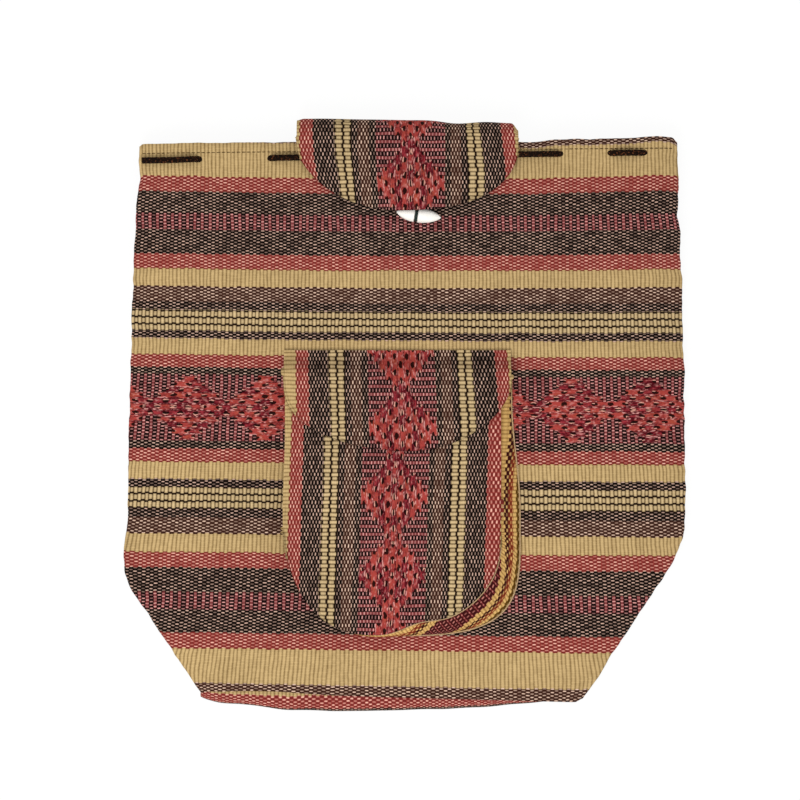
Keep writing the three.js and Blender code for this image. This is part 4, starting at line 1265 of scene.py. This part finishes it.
class BACKPACK_OT_top_flap(BackpackOperator):
    """Top flap, folded over the mouth from behind, with its cord loop"""

    bl_idname = "backpack.top_flap"
    bl_label = "Top flap"

    def execute(self, context):
        fold_start = MOUTH + FLAP_FOLD
        tongue_z = HEM_LIFT - SEAM_GAP - CLOTH / 2
        upper_end, fold_end = 0.5, 0.82

        def tip_y(x):
            reach = round_end(x, FLAP_X, FLAP_HALF, FLAP_ROUND, left=FLAP_LEFT, right=FLAP_RIGHT)
            return MOUTH - FLAP_DROP + FLAP_ROUND - reach + dented(x, FLAP_DENTS)

        def across_x(s):
            return FLAP_X + FLAP_HALF * eased(s)

        def fold_reach(x):
            sag = 0.5 * ripple(x, 0, 30, 50) + dented(x, FOLD_DENTS)
            sag -= FOLD_CORNERS[1] * smoothstep(x, 73.5, 80) ** 2 + FOLD_CORNERS[0] * smoothstep(-x, 73, 79)
            return FLAP_RISE + FLAP_TILT * (x - FLAP_X) - (fold_start - MOUTH) - CLOTH / 2 + sag

        def flap_place(s, t):
            x = across_x(s)
            top = flap_under(x, fold_start) + CLOTH / 2
            if t <= upper_end:
                y = lerp(tip_y(x), fold_start, t / upper_end)
                rise = upright_rise(*flap_chart(s, t))
                return spot(x, y, flap_under(x, y) + CLOTH + rise + 0.4 * ripple(x, y, 24, 52))
            if t <= fold_end:
                turn = (t - upper_end) / (fold_end - upper_end) * math.pi
                rise = (top - tongue_z) / 2
                bow = fold_reach(x)
                off = Vector((math.sin(turn) / bow, math.cos(turn) / rise)).normalized() * (CLOTH / 2)
                y = fold_start + bow * math.sin(turn)
                return spot(x, y + off.x, tongue_z + rise * (1 + math.cos(turn)) + off.y)
            share = (t - fold_end) / (1 - fold_end)
            return spot(x, lerp(fold_start, MOUTH - FLAP_TONGUE, share), tongue_z - CLOTH / 2)

        def flap_chart(s, t):
            x = across_x(s)
            if t <= upper_end:
                along = lerp(tip_y(x), fold_start, t / upper_end)
            elif t <= fold_end:
                along = fold_start + (t - upper_end) / (fold_end - upper_end) * FLAP_FOLD_RUN
            else:
                along = fold_start + FLAP_FOLD_RUN + (t - fold_end) / (1 - fold_end) * FLAP_TONGUE_RUN
            across = x - FLAP_CLOTH_X
            if across < 0:
                across /= lerp(*FLAP_STRETCH, smoothstep(along, MOUTH - FLAP_DROP, fold_start))
            else:
                lean = lerp(*FLAP_LEAN, clamp((along - FLAP_LEAN_FROM) / FLAP_LEAN_RUN))
                across += lean * smoothstep(across, 20, 55)
            edge = cut_distance(tip_y, x, along) if t <= upper_end else NO_EDGE
            return (along - FLAP_DIAMOND_Y) / UPRIGHT_STRETCH, across, edge

        cloth = woven_cloth("upright_weave", UPRIGHT_DRAFT)
        bm = grid_mesh(110, 110, flap_place, flap_chart)
        flap = add_cloth("visual_top_flap", bm, cloth, "top_flap")

        trim = context.scene.backpack_trim
        thread = plain_fibre("loop_fibre", trim.binding, 0.8, 2200.0)
        leg_x = SHANK + 2 * SEAM_GAP + LOOP / 2
        lying = on_front(TOGGLE_X, TOGGLE_Y) + LOOP / 2
        seam_y = TOGGLE_Y + LOOP_REACH
        seam_z = flap_under(TOGGLE_X + leg_x, seam_y) - LOOP / 2 - SEAM_GAP
        leg = [
            (leg_x, seam_y, seam_z),
            (leg_x, seam_y - 1, lerp(lying, seam_z, 0.5)),
            (leg_x, seam_y - LOOP_BEND, on_front(TOGGLE_X, seam_y - LOOP_BEND) + LOOP / 2 + LOOP_ARCH),
            (leg_x, TOGGLE_Y + LOOP_EYE, on_front(TOGGLE_X, TOGGLE_Y + LOOP_EYE) + LOOP / 2),
            (leg_x, TOGGLE_Y, lying),
            (leg_x * 0.8, TOGGLE_Y - leg_x * 0.7, lying),
        ]
        points = [*leg, (0, TOGGLE_Y - leg_x * 1.1, lying), *((-x, y, z) for x, y, z in reversed(leg))]
        route = smooth_route([(TOGGLE_X + x, y, z) for x, y, z in points], 0.8)
        bm = tube_mesh(route, LOOP / 2, 10, strands=4, twist=2.4, lobe=0.16)
        add_piece("visual_flap_loop", bm, thread, "bag", ["flap_loop"])
        return {"FINISHED"}


class BACKPACK_OT_toggle(BackpackOperator):
    """White toggle with its thread band, on a thread shank"""

    bl_idname = "backpack.toggle"
    bl_label = "Toggle"

    def execute(self, context):
        trim = context.scene.backpack_trim
        groove = BAND + SEAM_GAP
        height = on_front(TOGGLE_X, TOGGLE_Y) + SHANK_HEIGHT + TOGGLE_RADIUS
        turn = Matrix.Rotation(math.radians(TOGGLE_TURN), 4, "Z")
        seat = Matrix.Translation(spot(TOGGLE_X, TOGGLE_Y + TOGGLE_NUDGE, height)) @ turn

        def turned_piece(profile, steps):
            bm = bmesh.new()
            bm.loops.layers.uv.new("Cloth")
            verts = [bm.verts.new((along * MM, 0, radius * MM)) for along, radius in profile]
            edges = [bm.edges.new(pair) for pair in zip(verts, verts[1:])]
            whole = {"cent": (0, 0, 0), "axis": (1, 0, 0), "angle": 2 * math.pi}
            bmesh.ops.spin(bm, geom=[*verts, *edges], **whole, steps=steps, use_merge=True)
            bmesh.ops.remove_doubles(bm, verts=bm.verts, dist=1e-6)
            bmesh.ops.recalc_face_normals(bm, faces=bm.faces)
            bmesh.ops.transform(bm, matrix=seat, verts=bm.verts)
            for face in bm.faces:
                face.smooth = True
            return bm

        def arm(length):
            side = []
            for k in range(25):
                along = lerp(groove, length, math.sin(k / 24 * math.pi / 2))
                share = max(0.0, 1 - (along / length) ** TOGGLE_TAPER) ** TOGGLE_BLUNT
                side.append((along, TOGGLE_RADIUS * share))
            return [(groove * 0.74, TOGGLE_WAIST), (groove * 0.88, TOGGLE_WAIST + 0.5), *side]

        left, right = arm(TOGGLE_LENGTH / 2 - TOGGLE_OFFSET), arm(TOGGLE_LENGTH / 2 + TOGGLE_OFFSET)
        profile = [*((-along, radius) for along, radius in reversed(left)), *right]
        f = Finish(bpy.data.materials.new("toggle_bone"))
        grain = f.noise(f.own_place(), 260.0, 3.0)
        tint = f.mix(grain, trim.toggle, trim.toggle_grain)
        bone = f.surface(Base_Color=tint, Roughness=0.32 + grain * 0.16, Specular_IOR_Level=0.45)
        add_piece("visual_toggle", turned_piece(profile, 40), bone, "toggle", ["toggle"])

        dark = plain_fibre("band_thread", trim.binding, 0.75, 2400.0)
        wide = 0.9 * BAND
        inner = TOGGLE_WAIST + BAND_FIT
        rim = []
        for k in range(25):
            wind = 0.75 + 0.25 * abs(math.sin(k / 24 * math.pi * BAND_WINDS))
            rim.append((lerp(-wide, wide, k / 24), inner + 0.05 + wide * wind))
        profile = [(-wide, inner), *rim, (wide, inner), (-wide, inner)]
        add_piece("visual_band", turned_piece(profile, 32), dark, "toggle", ["toggle_band"])

        low = on_front(TOGGLE_X, TOGGLE_Y)
        high = height - TOGGLE_WAIST - BAND_FIT - BAND - SEAM_GAP
        route = [Vector((TOGGLE_X, TOGGLE_Y, lerp(low, high, k / 12))) for k in range(13)]
        bm = tube_mesh(route, SHANK, 12, strands=3, twist=1.8, lobe=0.2)
        add_piece("visual_shank", bm, dark, "bag", ["toggle_shank"])
        return {"FINISHED"}


class BACKPACK_OT_pocket(BackpackOperator):
    """Round-ended pocket with its gusset, pale welts and sewn-on flap"""

    bl_idname = "backpack.pocket"
    bl_label = "Pocket"

    def execute(self, context):
        trim = context.scene.backpack_trim
        cloth = bpy.data.materials.get("upright_weave") or woven_cloth("upright_weave", UPRIGHT_DRAFT)

        def pocket_spot(s, t):
            x = POCKET_X + POCKET_HALF * eased(s)
            y = lerp(pocket_end(x), POCKET_TOP, t)
            return x - POCKET_BULGE * smoothstep(1 - 2 * s, 0.75, 1) * swell(y, POCKET_BULGE_Y, 38), y

        def pocket_chart(s, t):
            x, y = pocket_spot(s, t)
            middle = POCKET_CLOTH_X + POCKET_CLOTH_LEAN * (y - POCKET_CLOTH_Y)
            across = squeezed((x - middle) / POCKET_CLOTH_STRETCH, *POCKET_SQUEEZE)
            edge = cut_distance(pocket_end, x, y)
            return (y - POCKET_DIAMOND_Y) / UPRIGHT_STRETCH, across, edge

        def pocket_place(s, t):
            x, y = pocket_spot(s, t)
            rise = upright_rise(*pocket_chart(s, t)) + 0.35 * ripple(x, y, 26, 60)
            sink = 0.4 * smoothstep(abs(2 * s - 1), 0.86, 1.0)
            return spot(x, y, pocket_under(x, y) + CLOTH + rise - sink)

        bm = grid_mesh(110, 120, pocket_place, pocket_chart)
        front = add_cloth("visual_pocket_front", bm, cloth, "pocket_front")

        def ring(t, share, grow):
            half = POCKET_HALF + lerp(GUSSET_SPREAD, -CLOTH / 2, share) + grow
            across = -math.cos(clamp(t) * math.pi)
            straight = -t if t < 0 else max(0.0, t - 1)
            reach = POCKET_ROUND + grow
            low = round_end(across, 0, 1, reach, right=GUSSET_SQUARE)
            high = round_end(across, 0, 1, reach - CLOTH / 2, skew=POCKET_SKEW, right=POCKET_SQUARE)
            taper = GUSSET_TAPER * smoothstep(t, 1.14, 1.84)
            x = POCKET_X + lerp(GUSSET_SLIP - taper, 0, share) + half * across
            y = POCKET_TURN + straight * POCKET_STRAIGHT - lerp(low, high, share)
            y += pocket_pull(x) * share**2
            return Vector((x, y, lerp(on_front(x, y), pocket_under(x, y) - SEAM_GAP, share)))

        def round_pocket(s):
            return lerp(-GUSSET_CLIMB, 1 + GUSSET_CLIMB, s)

        def gusset_place(s, share):
            pucker = 0.3 * ripple(s * 420, 0, 16, 66)
            return spot(*ring(round_pocket(s), share, math.sin(share * math.pi) * (CLOTH + pucker)))

        runs = [0.0]
        for k in range(GUSSET_STEPS):
            start, end = (ring(round_pocket(j / GUSSET_STEPS), 0.4, 0) for j in (k, k + 1))
            runs.append(runs[-1] + (end - start).length)

        def gusset_chart(s, share):
            far, near = GUSSET_MIRRORED
            hidden = GUSSET_TOP_BAND * smoothstep(s, 0.6, 0.676) - far * (1 - smoothstep(s, 0.505, 0.585))
            shown = lerp(*GUSSET_FOOT_BANDS, smoothstep(s, 0.525, 0.6))
            shown -= GUSSET_SIDE_BAND * smoothstep(s, 0.75, 0.9) + near * (1 - smoothstep(s, 0.505, 0.545))
            return runs[round(s * GUSSET_STEPS)], lerp(shown, hidden, share**1.12)

        banding = woven_cloth("gusset_weave", GUSSET_DRAFT)
        bm = grid_mesh(GUSSET_STEPS, 14, gusset_place, gusset_chart)
        gusset = add_cloth("visual_pocket_gusset", bm, banding, "pocket_gusset", 0.4)

        seam = MOUTH - POCKET_FLAP_DROP
        turn_y = seam - POCKET_FLAP_STRAIGHT

        def flap_end(x):
            shape = {"skew": POCKET_FLAP_SKEW, "left": POCKET_FLAP_LEFT, "right": POCKET_FLAP_RIGHT}
            return turn_y - round_end(x, POCKET_FLAP_X, POCKET_FLAP_HALF, POCKET_FLAP_ROUND, **shape)

        def flap_spot(s, t):
            x = POCKET_FLAP_X + POCKET_FLAP_HALF * eased(s)
            return x, lerp(flap_end(x), seam, t)

        def flap_chart(s, t):
            x, y = flap_spot(s, t)
            middle = POCKET_FLAP_CLOTH_X + POCKET_FLAP_CLOTH_LEAN * y
            low, high = POCKET_FLAP_STRETCH
            stretch = high if x < middle else lerp(low, high, (y + 37) / 72)
            across = squeezed((x - middle) / stretch, *POCKET_FLAP_SQUEEZE)
            edge = cut_distance(flap_end, x, y)
            return (y - POCKET_FLAP_DIAMOND_Y) / UPRIGHT_STRETCH, across, edge

        def flap_place(s, t):
            x, y = flap_spot(s, t)
            climb = 1 - smoothstep(y, POCKET_TOP + SEAM_GAP, seam - POCKET_FLAP_SEAM)
            under = lerp(on_front(x, y), on_pocket(x, min(y, POCKET_TOP)), climb)
            rise = upright_rise(*flap_chart(s, t))
            return spot(x, y, under + CLOTH + rise + 0.3 * ripple(x, y, 24, 70))

        bm = grid_mesh(110, 90, flap_place, flap_chart)
        flap = add_cloth("visual_pocket_flap", bm, cloth, "pocket_flap")

        pale = plain_fibre("welt_cloth", trim.welt, 0.9, 1800.0)
        for number, (share, start, end, proud, up) in enumerate(WELTS):
            lift = Vector((0, 0, up))
            route = [ring(lerp(start, end, k / 200), share, proud) + lift for k in range(201)]
            bm = tube_mesh(route, WELT, 8, strands=4, twist=3.0, lobe=0.3)
            add_piece(f"visual_welt_{number}", bm, pale, "bag")
        return {"FINISHED"}


class BACKPACK_OT_straps(BackpackOperator):
    """Two flat shoulder straps of folded cloth under the back"""

    bl_idname = "backpack.straps"
    bl_label = "Straps"

    def execute(self, context):
        cloth = woven_cloth("strap_weave", STRAP_DRAFT)
        for name, side in (("strap_left", -1), ("strap_right", 1)):

            def strap_place(s, t, side=side):
                at, along = strap_point(side, t)
                offset = (0.5 - s) * STRAP_WIDTH
                edge = STRAP_EDGE * smoothstep(abs(2 * s - 1), 0.9, 1.0)
                x, y = at.x - along.y * offset, at.y + along.x * offset
                return spot(x, y, STRAP_THICK - edge)

            def strap_chart(s, t):
                return t * STRAP_LENGTH, (s - 0.5) * STRAP_WIDTH

            bm = grid_mesh(28, 110, strap_place, strap_chart)
            piece = add_cloth(f"visual_{name}", bm, cloth, name, 0.6, STRAP_WALL)
        return {"FINISHED"}


class BACKPACK_PT_panel(bpy.types.Panel):
    """Lists the backpack's pieces in the sidebar"""

    bl_idname = "BACKPACK_PT_panel"
    bl_label = "Woven backpack"
    bl_space_type = "VIEW_3D"
    bl_region_type = "UI"
    bl_category = "Backpack"

    def draw(self, context):
        for maker in OPERATORS:
            self.layout.operator(maker.bl_idname)
        for group in (getattr(context.scene, name) for name in GROUPS):
            box = self.layout.box()
            for name in group.__annotations__:
                box.prop(group, name)


OPERATORS = (
    BACKPACK_OT_stage,
    BACKPACK_OT_drawstring,
    BACKPACK_OT_body,
    BACKPACK_OT_top_flap,
    BACKPACK_OT_toggle,
    BACKPACK_OT_pocket,
    BACKPACK_OT_straps,
)
GROUPS = {"backpack_cloth": BackpackCloth, "backpack_trim": BackpackTrim, "backpack_stage": BackpackStage}


def register():
    for kind in (*GROUPS.values(), *OPERATORS, BACKPACK_PT_panel):
        bpy.utils.register_class(kind)
    for name, kind in GROUPS.items():
        setattr(bpy.types.Scene, name, bpy.props.PointerProperty(type=kind))


def unregister():
    for name in GROUPS:
        delattr(bpy.types.Scene, name)
    for kind in reversed((*GROUPS.values(), *OPERATORS, BACKPACK_PT_panel)):
        bpy.utils.unregister_class(kind)


def main():
    register()
    bpy.ops.backpack.stage()
    bpy.ops.backpack.drawstring()
    bpy.ops.backpack.body()
    bpy.ops.backpack.top_flap()
    bpy.ops.backpack.toggle()
    bpy.ops.backpack.pocket()
    bpy.ops.backpack.straps()


if __name__ == "__main__":
    main()
